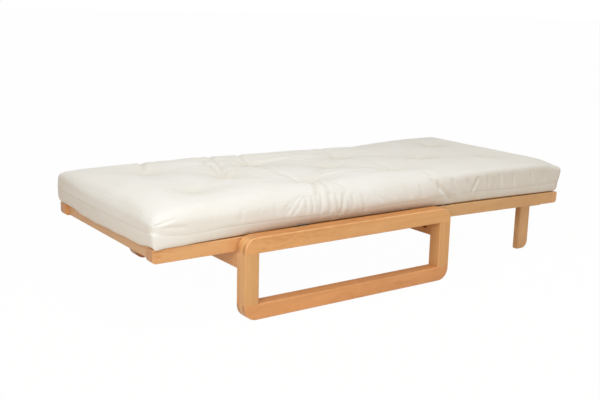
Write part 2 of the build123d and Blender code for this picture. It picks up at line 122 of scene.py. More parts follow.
class FutonLook(bpy.types.PropertyGroup):
    """Size, fullness and colour of the futon."""
    cloth: bpy.props.FloatVectorProperty(
        name="Calico", description="Colour of the unbleached cover", subtype="COLOR", size=3,
        min=0, max=1, default=(0.818, 0.790, 0.748))
    fleck: bpy.props.FloatVectorProperty(
        name="Fleck", description="Colour of the seed flecks in the cloth", subtype="COLOR", size=3,
        min=0, max=1, default=(0.50, 0.40, 0.27))
    thickness: bpy.props.FloatProperty(
        name="Side Height", description="Height of the sides before the cover fills out", unit="LENGTH",
        min=0.05, max=0.3, default=0.120)
    tuft_depth: bpy.props.FloatProperty(
        name="Tuft Depth", description="How far a tie pulls the top down", unit="LENGTH",
        min=0, max=0.1, default=0.027)
    seam_height: bpy.props.FloatProperty(
        name="Seam Height", description="Height of the side seam above the deck", unit="LENGTH",
        min=0.01, max=0.2, default=0.038)
    seam_depth: bpy.props.FloatProperty(
        name="Seam Depth", description="How far the side seam is drawn into the filling", unit="LENGTH",
        min=0, max=0.02, default=0.0018)
    slack: bpy.props.FloatProperty(
        name="Slack", description="Spare cloth in the cover, which makes its wrinkles", min=0, max=0.2,
        default=0.020)
    pressure: bpy.props.FloatProperty(
        name="Filling", description="How hard the filling pushes the cover out", min=0, max=20, default=1.2)


class StageLook(bpy.types.PropertyGroup):
    """Floor and light."""
    floor: bpy.props.FloatVectorProperty(
        name="Floor", description="Colour of the floor", subtype="COLOR", size=3,
        min=0, max=1, default=(0.85, 0.745, 0.625))
    key_power: bpy.props.FloatProperty(
        name="Key Light", description="Power of the large soft light above", unit="POWER", min=0, default=71)
    fill_power: bpy.props.FloatProperty(
        name="Fill Light", description="Power of the front light", unit="POWER", min=0, default=24)
    ambient: bpy.props.FloatProperty(
        name="Ambient", description="Strength of the light from all round", min=0, max=2, default=0.43)
    ambient_tint: bpy.props.FloatVectorProperty(
        name="Ambient Tint", description="Colour of the light from all round", subtype="COLOR", size=3,
        min=0, max=1, default=(1.0, 0.905, 0.80))


# Node helpers


def new_group(name, kind, inputs, outputs):
    """A shader or geometry node group with named sockets, and its input and output nodes."""
    tree = bpy.data.node_groups.new(name, kind)
    for label, socket_type, value in inputs:
        socket = tree.interface.new_socket(name=label, in_out="INPUT", socket_type=socket_type)
        if value is not None:
            socket.default_value = value
    for label, socket_type in outputs:
        tree.interface.new_socket(name=label, in_out="OUTPUT", socket_type=socket_type)
    return tree, tree.nodes.new("NodeGroupInput"), tree.nodes.new("NodeGroupOutput")


def feed(tree, socket, value):
    """Link a socket to another node's output, or set it to a plain value."""
    if isinstance(value, bpy.types.NodeSocket):
        tree.links.new(value, socket)
    else:
        socket.default_value = value


def set_inputs(tree, node, **inputs):
    """Link or set a node's inputs, called by their names with _ for a space."""
    for label, value in inputs.items():
        feed(tree, node.inputs[label.replace("_", " ")], value)
    return node


def add_node(tree, kind, **inputs):
    """A node whose inputs are linked or set."""
    return set_inputs(tree, tree.nodes.new(kind), **inputs)


def add_group(tree, group, **inputs):
    """A shader group placed in a material, with its inputs linked or set."""
    node = tree.nodes.new("ShaderNodeGroup")
    node.node_tree = group
    return set_inputs(tree, node, **inputs)


def add_math(tree, operation, first, second):
    """A math node whose inputs are sockets or numbers."""
    node = tree.nodes.new("ShaderNodeMath")
    node.operation = operation
    feed(tree, node.inputs[0], first)
    feed(tree, node.inputs[1], second)
    return node.outputs[0]


def add_noise(tree, vector, scale, detail=4.0, roughness=0.5, distortion=0.0):
    """A noise texture read at a vector socket."""
    return add_node(tree, "ShaderNodeTexNoise", Vector=vector, Scale=scale, Detail=detail,
                    Roughness=roughness, Distortion=distortion).outputs["Fac"]


def add_range(tree, value, low, high, to_low=0.0, to_high=1.0):
    """A clamped map from one range to another."""
    return add_node(tree, "ShaderNodeMapRange", Value=value, From_Min=low, From_Max=high,
                    To_Min=to_low, To_Max=to_high).outputs["Result"]


def add_mix(tree, factor, first, second, blend_type="MIX"):
    """A colour mix whose inputs are sockets or colours."""
    node = tree.nodes.new("ShaderNodeMix")
    node.data_type = "RGBA"
    node.blend_type = blend_type
    for socket, value in zip((node.inputs[0], node.inputs[6], node.inputs[7]), (factor, first, second)):
        feed(tree, socket, value)
    return node.outputs[2]


def add_shade(tree, colour, shade):
    """A colour darkened or lightened by another one."""
    return add_mix(tree, 1.0, colour, shade, "MULTIPLY")


def add_grey(tree, tone):
    """A grey whose three channels are one tone."""
    return add_node(tree, "ShaderNodeCombineColor", Red=tone, Green=tone, Blue=tone).outputs[0]


def add_mapping(tree, vector, scale, place=(0.0, 0.0, 0.0)):
    """A vector scaled along each axis and moved."""
    return add_node(tree, "ShaderNodeMapping", Vector=vector, Scale=scale, Location=place).outputs["Vector"]


def rgba(colour, share=1.0):
    """A colour, or a share of it, with full alpha."""
    return (*(channel * share for channel in colour), 1.0)


def new_material(name):
    """A material, its tree and its Principled shader."""
    material = bpy.data.materials.new(name)
    material.use_nodes = True
    tree = material.node_tree
    return material, tree, first_node(tree, "BSDF_PRINCIPLED")


def first_node(tree, kind):
    """The first node of a kind in a tree."""
    return next(node for node in tree.nodes if node.type == kind)


def add_bump(tree, height, distance, strength, **under):
    """A bump from a height socket, on top of an earlier Normal where one is given."""
    return add_node(tree, "ShaderNodeBump", Height=height, Distance=distance, Strength=strength,
                    **under).outputs["Normal"]


# Pieces and their meshes


def new_mesh(name, points, edges=(), faces=()):
    """A mesh from its points, edges and faces."""
    mesh = bpy.data.meshes.new(name)
    mesh.from_pydata(points, edges, faces)
    return mesh


def new_object(name, data):
    """An object in the scene, with a mesh, light or camera for its data."""
    piece = bpy.data.objects.new(name, data)
    bpy.context.scene.collection.objects.link(piece)
    return piece


def evaluated_mesh(piece):
    """A new mesh of a piece with its modifiers applied."""
    graph = bpy.context.evaluated_depsgraph_get()
    return bpy.data.meshes.new_from_object(piece.evaluated_get(graph))


def read_vectors(values):
    """A mesh's points, normals or vector attribute as an array."""
    vectors = np.empty(3 * len(values))
    values.foreach_get("vector", vectors)
    return vectors.reshape(-1, 3)


def read_surface(mesh):
    """A mesh's points and their normals as two arrays."""
    return read_vectors(mesh.attributes["position"].data), read_vectors(mesh.vertex_normals)


def write_points(mesh, points):
    """Move a mesh's points."""
    mesh.vertices.foreach_set("co", points.ravel())
    mesh.update()


def dress(piece, material):
    """Give a piece one material in place of its own."""
    piece.data.materials.clear()
    piece.data.materials.append(material)


# Timber

# Layers of the figure: how much each is squeezed along and across the grain, then its noise's scale,
# detail, roughness and distortion
GRAIN_LAYERS = {
    "drift": (1.0, 1.0, 0.11, 2.0, 0.50, 0.4),
    "streaks": (1.0, 1.0, 0.50, 4.0, 0.55, 0.9),
    "mottle": (3.2, 0.55, 0.70, 3.0, 0.60, 0.8),
    "pores": (1.0, 7.0, 1.00, 4.0, 0.70, 0.0),
    "flecks": (4.5, 11.0, 1.00, 2.0, 0.50, 0.0),
    "places": (1.5, 0.30, 0.45, 1.0, 0.50, 0.0),
    "swirls": (2.6, 0.90, 0.80, 3.0, 0.60, 2.4),
}
FIGURE_SHARES = {"streaks": 0.75, "mottle": 0.40, "pores": 0.22}
FLECK_SHARE = 0.30
SWIRL_SHARE = 0.75
DRIFT_TONES = (0.91, 1.05)


def grain_group():
    """Close-grained figure: streaks, mottle, pores, flecks, wilder swirls in places and a drift of tone."""
    tree, source, result = new_group(
        "Timber Grain", "ShaderNodeTree",
        [("Vector", "NodeSocketVector", None), ("Light", "NodeSocketColor", None),
         ("Dark", "NodeSocketColor", None), ("Contrast", "NodeSocketFloat", 0.5)],
        [("Color", "NodeSocketColor"), ("Roughness", "NodeSocketFloat"), ("Height", "NodeSocketFloat")])
    layers = {}
    for name, (along, across, *settings) in GRAIN_LAYERS.items():
        squeezed = add_mapping(tree, source.outputs["Vector"], (along, across, across))
        layers[name] = add_noise(tree, squeezed, *settings)
    figure = 0.0
    for name, share in FIGURE_SHARES.items():
        figure = add_math(tree, "ADD", figure, add_math(tree, "MULTIPLY", layers[name], share))
    figure = add_range(tree, figure, 0.46, 0.92)
    depth = add_math(tree, "MULTIPLY", figure, source.outputs["Contrast"])
    depth = add_math(tree, "ADD", depth, add_range(tree, layers["flecks"], 0.66, 0.76, 0.0, FLECK_SHARE))
    wild = add_math(tree, "MULTIPLY", add_range(tree, layers["places"], 0.52, 0.63),
                    add_range(tree, layers["swirls"], 0.42, 0.68))
    depth = add_math(tree, "ADD", depth, add_math(tree, "MULTIPLY", wild, SWIRL_SHARE))
    colour = add_mix(tree, depth, source.outputs["Light"], source.outputs["Dark"])
    tone = add_range(tree, layers["drift"], 0.3, 0.7, *DRIFT_TONES)
    set_inputs(tree, result, Color=add_shade(tree, colour, add_grey(tree, tone)),
               Roughness=add_range(tree, layers["pores"], 0.3, 0.7), Height=layers["pores"])
    return tree


def wear_group():
    """Slow handling marks: a faint dirt and polish that darkens the surface in places."""
    tree, source, result = new_group(
        "Handling Marks", "ShaderNodeTree",
        [("Vector", "NodeSocketVector", None), ("Color", "NodeSocketColor", None),
         ("Amount", "NodeSocketFloat", 0.2)],
        [("Color", "NodeSocketColor")])
    cloud = add_noise(tree, source.outputs["Vector"], 9.0, 5.0, 0.6, 0.3)
    mask = add_math(tree, "MULTIPLY", add_range(tree, cloud, 0.45, 0.75), source.outputs["Amount"])
    darker = add_shade(tree, source.outputs["Color"], (0.62, 0.55, 0.50, 1.0))
    feed(tree, result.inputs["Color"], add_mix(tree, mask, source.outputs["Color"], darker))
    return tree


# Each member is glued from staves of about this length, and each stave has a tone in this range
STAVE_LENGTH = 0.36
STAVE_TONES = (0.93, 1.045)
STAVE_SEED_STEP = 0.37


def stave_shade(tree, coordinate, seed):
    """A grey that steps from stave to stave along a member."""
    place = add_math(tree, "DIVIDE", coordinate, STAVE_LENGTH)
    shifted = add_math(tree, "ADD", place, seed * STAVE_SEED_STEP)
    number = tree.nodes.new("ShaderNodeTexWhiteNoise")
    number.noise_dimensions = "1D"
    feed(tree, number.inputs["W"], add_math(tree, "FLOOR", shifted, 0.0))
    return add_grey(tree, add_range(tree, number.outputs["Value"], 0.0, 1.0, *STAVE_TONES))


# The frame's axes with the one along the grain put first
GRAIN_FIRST = {"X": "XYZ", "Y": "YXZ", "Z": "ZYX"}
SEED_STEPS = (7.3, 3.1, 5.7)
WEAR_AMOUNT = 0.16
PORE_DEPTH = 0.0004
# Painted shade: the upward faces of the loops' top bars are darkened, as the futon's overhang shades them
TOP_PAINTED_SHADE = (0.76, 0.62, 0.46, 1.0)


def timber_material(look, groups, name, grain_axis, seed, tint, shade_top):
    """Oiled timber whose grain runs along one axis, with its own figure for each seed."""
    material, tree, shader = new_material(name)
    coordinates = tree.nodes.new("ShaderNodeTexCoord")
    place = add_node(tree, "ShaderNodeSeparateXYZ", Vector=coordinates.outputs["Object"]).outputs
    facing = add_node(tree, "ShaderNodeSeparateXYZ", Vector=coordinates.outputs["Normal"]).outputs
    turned = add_node(tree, "ShaderNodeCombineXYZ",
                      **{label: place[axis] for label, axis in zip("XYZ", GRAIN_FIRST[grain_axis])})
    across = 1.0 / look.grain_pitch
    vector = add_mapping(tree, turned.outputs[0], (across / look.grain_run, across, across),
                         [seed * step for step in SEED_STEPS])
    light, dark = (rgba(np.multiply(colour, tint)) for colour in (look.light, look.dark))
    grain = add_group(tree, groups["grain"], Vector=vector, Light=light, Dark=dark, Contrast=look.contrast)
    colour = add_shade(tree, grain.outputs["Color"], stave_shade(tree, place[grain_axis], seed))
    ends = add_range(tree, add_math(tree, "ABSOLUTE", facing[grain_axis], 0.0), 0.75, 0.95)
    rings = add_noise(tree, coordinates.outputs["Object"], 240.0, 3.0, 0.7)
    sawn = add_math(tree, "MULTIPLY", ends, add_range(tree, rings, 0.25, 0.7, 0.55, 0.95))
    colour = add_mix(tree, sawn, colour, rgba(look.end_grain))
    if shade_top:
        # Painted shade on the upward faces, standing in for the futon's overhang shading them
        upward = add_range(tree, facing["Z"], 0.80, 0.97)
        colour = add_mix(tree, upward, colour, add_shade(tree, colour, TOP_PAINTED_SHADE))
    worn = add_group(tree, groups["wear"], Vector=coordinates.outputs["Object"], Color=colour,
                     Amount=WEAR_AMOUNT)
    rough = add_range(tree, grain.outputs["Roughness"], 0.0, 1.0, look.roughness - 0.06, look.roughness + 0.1)
    set_inputs(tree, shader, Base_Color=worn.outputs["Color"], Roughness=rough, Coat_Weight=0.12,
               Coat_Roughness=0.35, Normal=add_bump(tree, grain.outputs["Height"], PORE_DEPTH, 0.35))
    return material


# The timber's batches differ a little: shares of the written colours, in red, green and blue
BATCH_TINTS = {
    "loop_top": (1.18, 1.25, 1.20), "loop_bottom": (1.12, 1.07, 0.98), "back_post": (1.04, 1.15, 1.14),
    "front_post": (1.04, 1.12, 1.07), "extension_rail": (1.06, 1.25, 1.36), "rail": (1.05, 1.14, 1.20),
    "leg": (1.13, 1.42, 1.70), "stretcher": (1.11, 1.15, 1.08), "bar": (0.94, 1.10, 1.26),
    "slat": (0.96, 1.04, 1.12),
}
BATCH_SPREAD, BATCH_TURN = 0.025, 2.4

WELD_DISTANCE = 1e-5
SHARP_ANGLE = radians(28)


def ease_edges(node, width):
    """Round a timber piece's bevelled edges over, as sandpaper does."""
    weld = node.modifiers.new("Join Corners", "WELD")
    weld.merge_threshold = WELD_DISTANCE
    bevel = node.modifiers.new("Sanded Edges", "BEVEL")
    bevel.width = width
    bevel.segments = 2
    bevel.limit_method = "ANGLE"
    bevel.angle_limit = SHARP_ANGLE
    bevel.harden_normals = True


def grain_axis_of(name):
    """The axis that a timber piece's grain runs along."""
    if "post" in name or name in ("right_leg", "left_leg"):
        return "Z"
    if any(kind in name for kind in ("rail", "loop", "ledge", "hanger")):
        return "X"
    return "Y"


class BED_OT_timber(bpy.types.Operator):
    """Oil the loops, rails, bars, slats and legs"""
    bl_idname = "bed.timber"
    bl_label = "Finish Timber"

    def execute(self, context):
        look = context.scene.bed_timber
        groups = {"grain": grain_group(), "wear": wear_group()}
        timber = sorted(name for name in frame["nodes"] if SLOTS[name] in ("frame_timber", "slat_pine"))
        for seed, name in enumerate(timber):
            kind = next((kind for kind in BATCH_TINTS if kind in name), "slat")
            tint = np.multiply(BATCH_TINTS[kind], 1.0 + BATCH_SPREAD * sin(BATCH_TURN * seed))
            material = timber_material(look, groups, "Oiled_" + name, grain_axis_of(name), seed, tint,
                                       shade_top=kind == "loop_top")
            dress(frame["nodes"][name], material)
            ease_edges(frame["nodes"][name], look.edge_ease)
        return {"FINISHED"}


# What repeats


def repeat_group(name, inputs):
    """A Geometry Nodes tree with a geometry going through it, named inputs and a material."""
    inputs = [("Geometry", "NodeSocketGeometry", None), *inputs, ("Material", "NodeSocketMaterial", None)]
    return new_group(name, "GeometryNodeTree", inputs, [("Geometry", "NodeSocketGeometry")])


def repeat(tree, source, result, points, instance, size, **more):
    """Put an instance of the given size at every point, and make them one mesh with its material."""
    scale = add_node(tree, "ShaderNodeCombineXYZ",
                     **{label: source.outputs[name] for label, name in zip("XYZ", size)})
    placed = add_node(tree, "GeometryNodeInstanceOnPoints", Points=points, Instance=instance,
                      Scale=scale.outputs[0], **more)
    real = add_node(tree, "GeometryNodeRealizeInstances", Geometry=placed.outputs[0])
    coat = add_node(tree, "GeometryNodeSetMaterial", Geometry=real.outputs[0],
                    Material=source.outputs["Material"])
    feed(tree, result.inputs["Geometry"], coat.outputs[0])
    return tree


def made_by_nodes(name, mesh, tree, values):
    """Run a tree over a mesh and keep the result as a plain mesh in a new object."""
    seed = new_object(name + "_Seed", mesh)
    modifier = seed.modifiers.new("Repeat", "NODES")
    modifier.node_group = tree
    for item in tree.interface.items_tree:
        if item.item_type == "SOCKET" and item.in_out == "INPUT" and item.name in values:
            modifier[item.identifier] = values[item.name]
    made = evaluated_mesh(seed)
    bpy.data.objects.remove(seed)
    return new_object(name, made)


def screw_tree():
    """A countersunk screw head with a cross slot at every point."""
    tree, source, result = repeat_group("Countersunk Screws", [
        ("Radius", "NodeSocketFloat", 0.0032), ("Height", "NodeSocketFloat", 0.0007)])
    head = add_node(tree, "GeometryNodeMeshCone", Vertices=20, Radius_Top=0.72, Radius_Bottom=1.0, Depth=1.0)
    cut = tree.nodes.new("GeometryNodeMeshBoolean")
    cut.operation = "DIFFERENCE"
    set_inputs(tree, cut, Mesh_1=head.outputs[0])
    for turn in (0.0, pi / 2):
        slot = add_node(tree, "GeometryNodeMeshCube", Size=(1.0, 0.20, 0.8))
        turned = add_node(tree, "GeometryNodeTransform", Geometry=slot.outputs[0],
                          Translation=(0.0, 0.0, 1.0), Rotation=(0.0, 0.0, turn))
        set_inputs(tree, cut, Mesh_2=turned.outputs[0])
    return repeat(tree, source, result, source.outputs["Geometry"], cut.outputs[0],
                  ("Radius", "Radius", "Height"))


def stitch_tree():
    """Short threads laid end to end along a line of edges."""
    tree, source, result = repeat_group("Seam Stitches", [
        ("Pitch", "NodeSocketFloat", 0.0042), ("Length", "NodeSocketFloat", 0.0031),
        ("Thickness", "NodeSocketFloat", 0.0005)])
    line = add_node(tree, "GeometryNodeMeshToCurve", Mesh=source.outputs["Geometry"])
    spaced = tree.nodes.new("GeometryNodeResampleCurve")
    spaced.mode = "LENGTH"
    set_inputs(tree, spaced, Curve=line.outputs[0], Length=source.outputs["Pitch"])
    thread = add_node(tree, "GeometryNodeMeshIcoSphere", Radius=0.5, Subdivisions=1)
    turn = tree.nodes.new("FunctionNodeAlignRotationToVector")
    turn.axis = "Z"
    set_inputs(tree, turn, Vector=tree.nodes.new("GeometryNodeInputTangent").outputs[0])
    return repeat(tree, source, result, spaced.outputs[0], thread.outputs[0],
                  ("Thickness", "Thickness", "Length"), Rotation=turn.outputs[0])


# Steel

# A leaf's width as a share of its length, and its screws' places as shares of its length and width
LEAF_WIDTH_SHARE = 0.75
SCREW_SHARES = ((0.42, 0.24), (0.80, 0.50), (0.42, 0.76))


def screw_points(name, hinge):
    """Where the screws of one pair of hinge leaves sit, on top of the leaves."""
    low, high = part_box(name)
    outward = 1.0 if high.x + low.x > 2 * hinge.x else -1.0
    length = (high.x - hinge.x) if outward > 0 else (hinge.x - low.x)
    width = LEAF_WIDTH_SHARE * length
    points = []
    for side in (1, -1):
        for along, across in SCREW_SHARES:
            x = hinge.x + outward * length * along
            points.append((x, side * (high.y - width * across), float(deck_height(x))))
    return points


def zinc_material(look):
    """Zinc plate with a faint bloom."""
    material, tree, shader = new_material("Zinc_Plate")
    coordinates = tree.nodes.new("ShaderNodeTexCoord")
    bloom = add_noise(tree, coordinates.outputs["Object"], 120.0, 4.0, 0.6)
    colour = add_mix(tree, add_range(tree, bloom, 0.35, 0.7), rgba(look.plate), rgba(look.plate, 0.78))
    set_inputs(tree, shader, Base_Color=colour, Roughness=add_range(tree, bloom, 0.3, 0.7, 0.28, 0.45),
               Metallic=1.0)
    return material


class BED_OT_steel(bpy.types.Operator):
    """Plate the hinges and fixings"""
    bl_idname = "bed.steel"
    bl_label = "Finish Steel"

    def execute(self, context):
        look = context.scene.bed_steel
        material = zinc_material(look)
        for name, node in frame["nodes"].items():
            if SLOTS[name] == "steel":
                dress(node, material)
        tree = screw_tree()
        leaves = (
            ("back_hinge_fixed_leaves", BACK_HINGE, "base"),
            ("back_hinge_moving_leaves", BACK_HINGE, "back"),
            ("extension_hinge_fixed_leaves", FRONT_HINGE, "base"),
            ("extension_hinge_moving_leaves", FRONT_HINGE, "extension"),
        )
        for name, hinge, body in leaves:
            places = new_mesh(name + "_screw_places", screw_points(name, hinge))
            screws = made_by_nodes("Screws_" + name, places, tree,
                                   {"Radius": look.screw_radius, "Material": material})
            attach(screws, body)
        return {"FINISHED"}


# Futon

CLOTH_PITCH = 0.0108
REST_GAP = 0.0006
SPLIT_X = -0.045
LEFT_X, RIGHT_X = -HALF_BED - 0.009, HALF_BED + 0.003
NEAR_Y, FAR_Y = -HALF_DECK - 0.003, HALF_DECK + 0.012
# How far the next rows of cloth lie from the seam's row, and how many there are below and above it
SEAM_BAND = 0.0035
LOWER_ROWS, UPPER_ROWS = 4, 9

# Each tuft's place on the cover and how deep its tie is drawn, as a share of the tuft depth
TUFTS = (
    (-0.718, 0.190, 0.75), (-0.718, -0.190, 0.60), (-0.471, 0.000, 0.95), (-0.247, 0.190, 0.90),
    (-0.247, -0.215, 0.95), (0.015, 0.000, 0.85), (0.205, 0.190, 1.00), (0.205, -0.200, 1.05),
    (0.500, -0.022, 1.15), (0.775, 0.195, 1.10), (0.785, -0.155, 1.00),
)
TUFT_SHARES = np.array([share for x, y, share in TUFTS])[:, None]
# A tuft's bowl is a pit with a hollow round it: each one's share of the depth, and its reach. The second bowl lays
# the painted shade in the tufts, with each part's share and reach.
DIP_BOWL = ((0.56, 0.034), (0.44, 0.088))
SHADE_BOWL = ((0.62, 0.032), (0.38, 0.085))

# How the cover turns over its top edges along the bed, and under its lower edges
SHOULDER_PLACES = (-0.975, -0.300, 0.250, 0.975)
SHOULDER_WIDTHS = (0.050, 0.046, 0.026, 0.017)
SHOULDER_HEIGHTS = (0.044, 0.040, 0.024, 0.015)
UNDERSIDE_WIDTH, UNDERSIDE_HEIGHT = 0.018, 0.014
# A high power keeps the corners square from above, and the soft near left corner loses some of it
CORNER_POWER, SOFT_CORNER_LOSS = 7, 4.0
# Shares of the turn that the far left corner and the left end's underside lose
FAR_LEFT_LOSS_SHARE, LEFT_UNDERSIDE_LOSS_SHARE = 0.45, 0.50

# Height of the filling along the near and the far side, as shares of the side height
HEIGHT_PLACES = (-0.975, -0.810, -0.590, -0.360, -0.115, 0.150, 0.440, 0.600, 0.760, 0.975)
NEAR_HEIGHT_SHARES = (0.96, 0.99, 1.02, 1.02, 1.00, 1.03, 1.07, 1.09, 1.10, 1.09)
FAR_HEIGHT_SHARES = (0.97, 1.00, 1.01, 0.98, 0.92, 0.89, 0.93, 1.02, 1.09, 1.11)
# The top's crown, and how far from the left end, the right end and the sides it is full
CROWN_RISE = 0.010
CROWN_LEFT_RUN, CROWN_RIGHT_RUN, CROWN_SIDE_RUN = 0.20, 0.08, 0.20
# Reach and drop of the near corners' top, at the left and the right end
LEFT_CORNER_REACH, LEFT_CORNER_DROP = 0.090, 0.014
RIGHT_CORNER_REACH, RIGHT_CORNER_DROP = 0.070, 0.018

# How far the near side's lower edge is drawn in along the bed, and the height of the seam there
DRAW_PLACES = (-0.975, -0.850, -0.700, -0.450, -0.300, -0.150, 0.050, 0.295, 0.450, 0.700, 0.975)
NEAR_DRAWS = (-0.009, -0.004, 0.004, 0.015, 0.022, 0.020, 0.015, 0.006, 0.010, 0.010, 0.004)
SEAM_SHARES = (1.30, 0.92, 1.12, 1.10, 0.98, 1.00, 1.05, 1.10, 1.12, 1.00, 1.05)
SEAM_REACH = 0.022
# Height of the drawn-in band at the foot of the sides, and share and reach of the weaker draw at its top
DRAWN_HEIGHT, WAIST_SHARE, WAIST_REACH = 0.062, 0.25, 0.045
FAR_DRAW, RIGHT_END_DRAW, NEAR_LEFT_INSET = 0.014, 0.006, 0.008
# The ears at the right end's corners: how far they stand out in X and Y, and their height above the deck
EAR_X, EAR_Y, EAR_HEIGHT = 0.009, 0.005, 0.095
EAR_END_REACH, EAR_SIDE_SHARE, EAR_TALL_REACH = 0.05, 0.06, 0.035

# How far the lower edge hangs down past the end bar, outside the near rail, at its corner and past its end
END_HANG, RAIL_LAP, CORNER_LAP, PAST_RAIL_HANG = 0.012, 0.003, 0.005, 0.006
# Up the side the hang dies away over this height, and at the left end it waves by this share, with so
# many radians for each metre
HANGING_HEIGHT = 0.045
SCALLOP_SHARE, SCALLOP_TURN = 0.14, 38


def side_rows(look):
    """Heights of the rows of cloth up the side, close together at the seam."""
    lower = np.linspace(0.0, look.seam_height - SEAM_BAND, LOWER_ROWS)
    upper = np.linspace(look.seam_height + SEAM_BAND, look.thickness, UPPER_ROWS)
    return np.concatenate([lower, [look.seam_height], upper])


class Cover:
    """The futon's cover as a closed box of cloth: points, faces, grid keys and places on the cloth."""

    def __init__(self, look):
        xs, ys = (np.linspace(low, high, round((high - low) / CLOTH_PITCH) + 1)
                  for low, high in ((LEFT_X, RIGHT_X), (NEAR_Y, FAR_Y)))
        xs[np.argmin(abs(xs - SPLIT_X))] = SPLIT_X
        zs = side_rows(look)
        self.counts = len(xs) - 1, len(ys) - 1, len(zs) - 1
        self.seam_row = int(np.argmin(abs(zs - look.seam_height)))
        self.index, keys = {}, []
        self.faces = []
        nx, ny, nz = self.counts

        def corner(i, j, k):
            key = (i, j, k)
            if key not in self.index:
                self.index[key] = len(keys)
                keys.append(key)
            return self.index[key]

        def quad(*corners):
            self.faces.append([corner(*key) for key in corners])

        for i in range(nx):
            for j in range(ny):
                quad((i, j, nz), (i + 1, j, nz), (i + 1, j + 1, nz), (i, j + 1, nz))
                quad((i, j, 0), (i, j + 1, 0), (i + 1, j + 1, 0), (i + 1, j, 0))
        for k in range(nz):
            for i in range(nx):
                quad((i, 0, k), (i + 1, 0, k), (i + 1, 0, k + 1), (i, 0, k + 1))
                quad((i, ny, k), (i, ny, k + 1), (i + 1, ny, k + 1), (i + 1, ny, k))
            for j in range(ny):
                quad((0, j, k), (0, j, k + 1), (0, j + 1, k + 1), (0, j + 1, k))
                quad((nx, j, k), (nx, j + 1, k), (nx, j + 1, k + 1), (nx, j, k + 1))
        self.keys = np.array(keys)
        i, j, k = self.keys.T
        self.flat = np.stack([xs[i], ys[j], zs[k]], axis=1)
        drop = zs[-1] - zs[k]
        on_end = (i == 0) | (i == nx)
        on_side = (j == 0) | (j == ny)
        self.on_top, self.on_base = k == nz, k == 0
        along = xs[i] + np.where(on_end & ~on_side, np.where(i == 0, -drop, drop), 0.0)
        across = ys[j] + np.where(on_side, np.where(j == 0, -drop, drop), 0.0)
        under = self.on_base & ~on_end & ~on_side
        self.places = np.stack([along, across, np.where(under, 1.0, 0.0)], axis=1)


def swell(offset, reach):
    """A soft bump that is one at nought and dies away over the reach."""
    return np.exp(-(offset / reach) ** 2)


def steps(value, low, high):
    """A smooth rise from nought at low to one at high."""
    share = np.clip((value - low) / (high - low), 0.0, 1.0)
    return share * share * (3 - 2 * share)


def falls(value, low, high):
    """A smooth fall from one at low to nought at high."""
    return 1.0 - steps(value, low, high)


def tuft_gaps(x, y):
    """Distance from each tuft, one row for each tuft, seen from above."""
    return np.array([np.hypot(x - tuft_x, y - tuft_y) for tuft_x, tuft_y, share in TUFTS])


def tuft_bowls(x, y, bowl):
    """How deep in a tuft's bowl each place lies, as a share of the tuft depth."""
    gaps = tuft_gaps(x, y)
    return (TUFT_SHARES * sum(share * swell(gaps, reach) for share, reach in bowl)).max(axis=0)


def turned_over(flat, look):
    """The flat-sided box of cloth with its edges turned over, softly at the left and tightly at the right."""
    x, y, z = flat.T
    low, high = flat.min(axis=0), flat.max(axis=0)
    upper = z > look.seam_height
    full = 1.0 - FAR_LEFT_LOSS_SHARE * falls(x, -0.97, -0.80) * steps(y, 0.05, 0.35)
    under = 1.0 - LEFT_UNDERSIDE_LOSS_SHARE * falls(x, -0.95, -0.80)
    wide = np.where(upper, full * np.interp(x, SHOULDER_PLACES, SHOULDER_WIDTHS), UNDERSIDE_WIDTH)
    tall = np.where(upper, full * np.interp(x, SHOULDER_PLACES, SHOULDER_HEIGHTS), under * UNDERSIDE_HEIGHT)
    reach = np.stack([wide, wide, tall], axis=1)
    inner = np.minimum(np.maximum(flat, low + reach), high - reach)
    away = (flat - inner) / reach
    soft = falls(x, -0.96, -0.85) * falls(y, -0.36, -0.20)
    power = CORNER_POWER - SOFT_CORNER_LOSS * soft
    plan = (abs(away[:, 0]) ** power + abs(away[:, 1]) ** power) ** (2 / power)
    excess = np.maximum(np.sqrt(plan + away[:, 2] ** 2), 1.0)[:, None]
    return inner + away * reach / excess


def filled(x, y, z, side, look):
    """Heights with the filling's swells along the bed, its crown and its lower near corners."""
    rise = z / look.thickness
    near = np.interp(x, HEIGHT_PLACES, NEAR_HEIGHT_SHARES)
    far = np.interp(x, HEIGHT_PLACES, FAR_HEIGHT_SHARES)
    tall = near + (far - near) * steps(side, 0.05, 0.95)
    ends = np.minimum((x - LEFT_X) / CROWN_LEFT_RUN, (RIGHT_X - x) / CROWN_RIGHT_RUN)
    edge = np.minimum(ends, np.minimum(y - NEAR_Y, FAR_Y - y) / CROWN_SIDE_RUN)
    crown = CROWN_RISE * steps(edge, 0.0, 1.0)
    z = z * (1.0 + (tall - 1.0) * steps(rise, 0.0, 1.0)) + crown * steps(rise, 0.6, 1.0)
    left = swell(np.hypot(x - LEFT_X, y - NEAR_Y), LEFT_CORNER_REACH)
    right = swell(np.hypot(x - RIGHT_X, y - NEAR_Y), RIGHT_CORNER_REACH)
    return z - (LEFT_CORNER_DROP * left + RIGHT_CORNER_DROP * right) * steps(rise, 0.45, 0.90)


def drawn_in(x, y, z, side):
    """Places with the lower edges drawn in, the near left end set in and ears at the right end's corners."""
    lower = np.clip(1.0 - z / DRAWN_HEIGHT, 0.0, 1.0) ** 2
    draw = np.interp(x, DRAW_PLACES, NEAR_DRAWS)
    toward = steps(-side, -0.45, 0.0)
    y = y + draw * lower * toward + WAIST_SHARE * draw * toward * swell(z - DRAWN_HEIGHT, WAIST_REACH)
    y = y - FAR_DRAW * lower * steps(side, 0.55, 1.0)
    x = x + NEAR_LEFT_INSET * np.clip(1.0 - side, 0.0, 1.0) * falls(x, LEFT_X, LEFT_X + 0.30)
    x = x - RIGHT_END_DRAW * lower * steps(x, RIGHT_X - 0.3, RIGHT_X)
    ears = (swell(np.minimum(side, 1 - side), EAR_SIDE_SHARE) * swell(x - RIGHT_X, EAR_END_REACH)
            * swell(z - EAR_HEIGHT, EAR_TALL_REACH))
    return x + EAR_X * np.sign(x) * ears, y + EAR_Y * np.sign(y) * ears


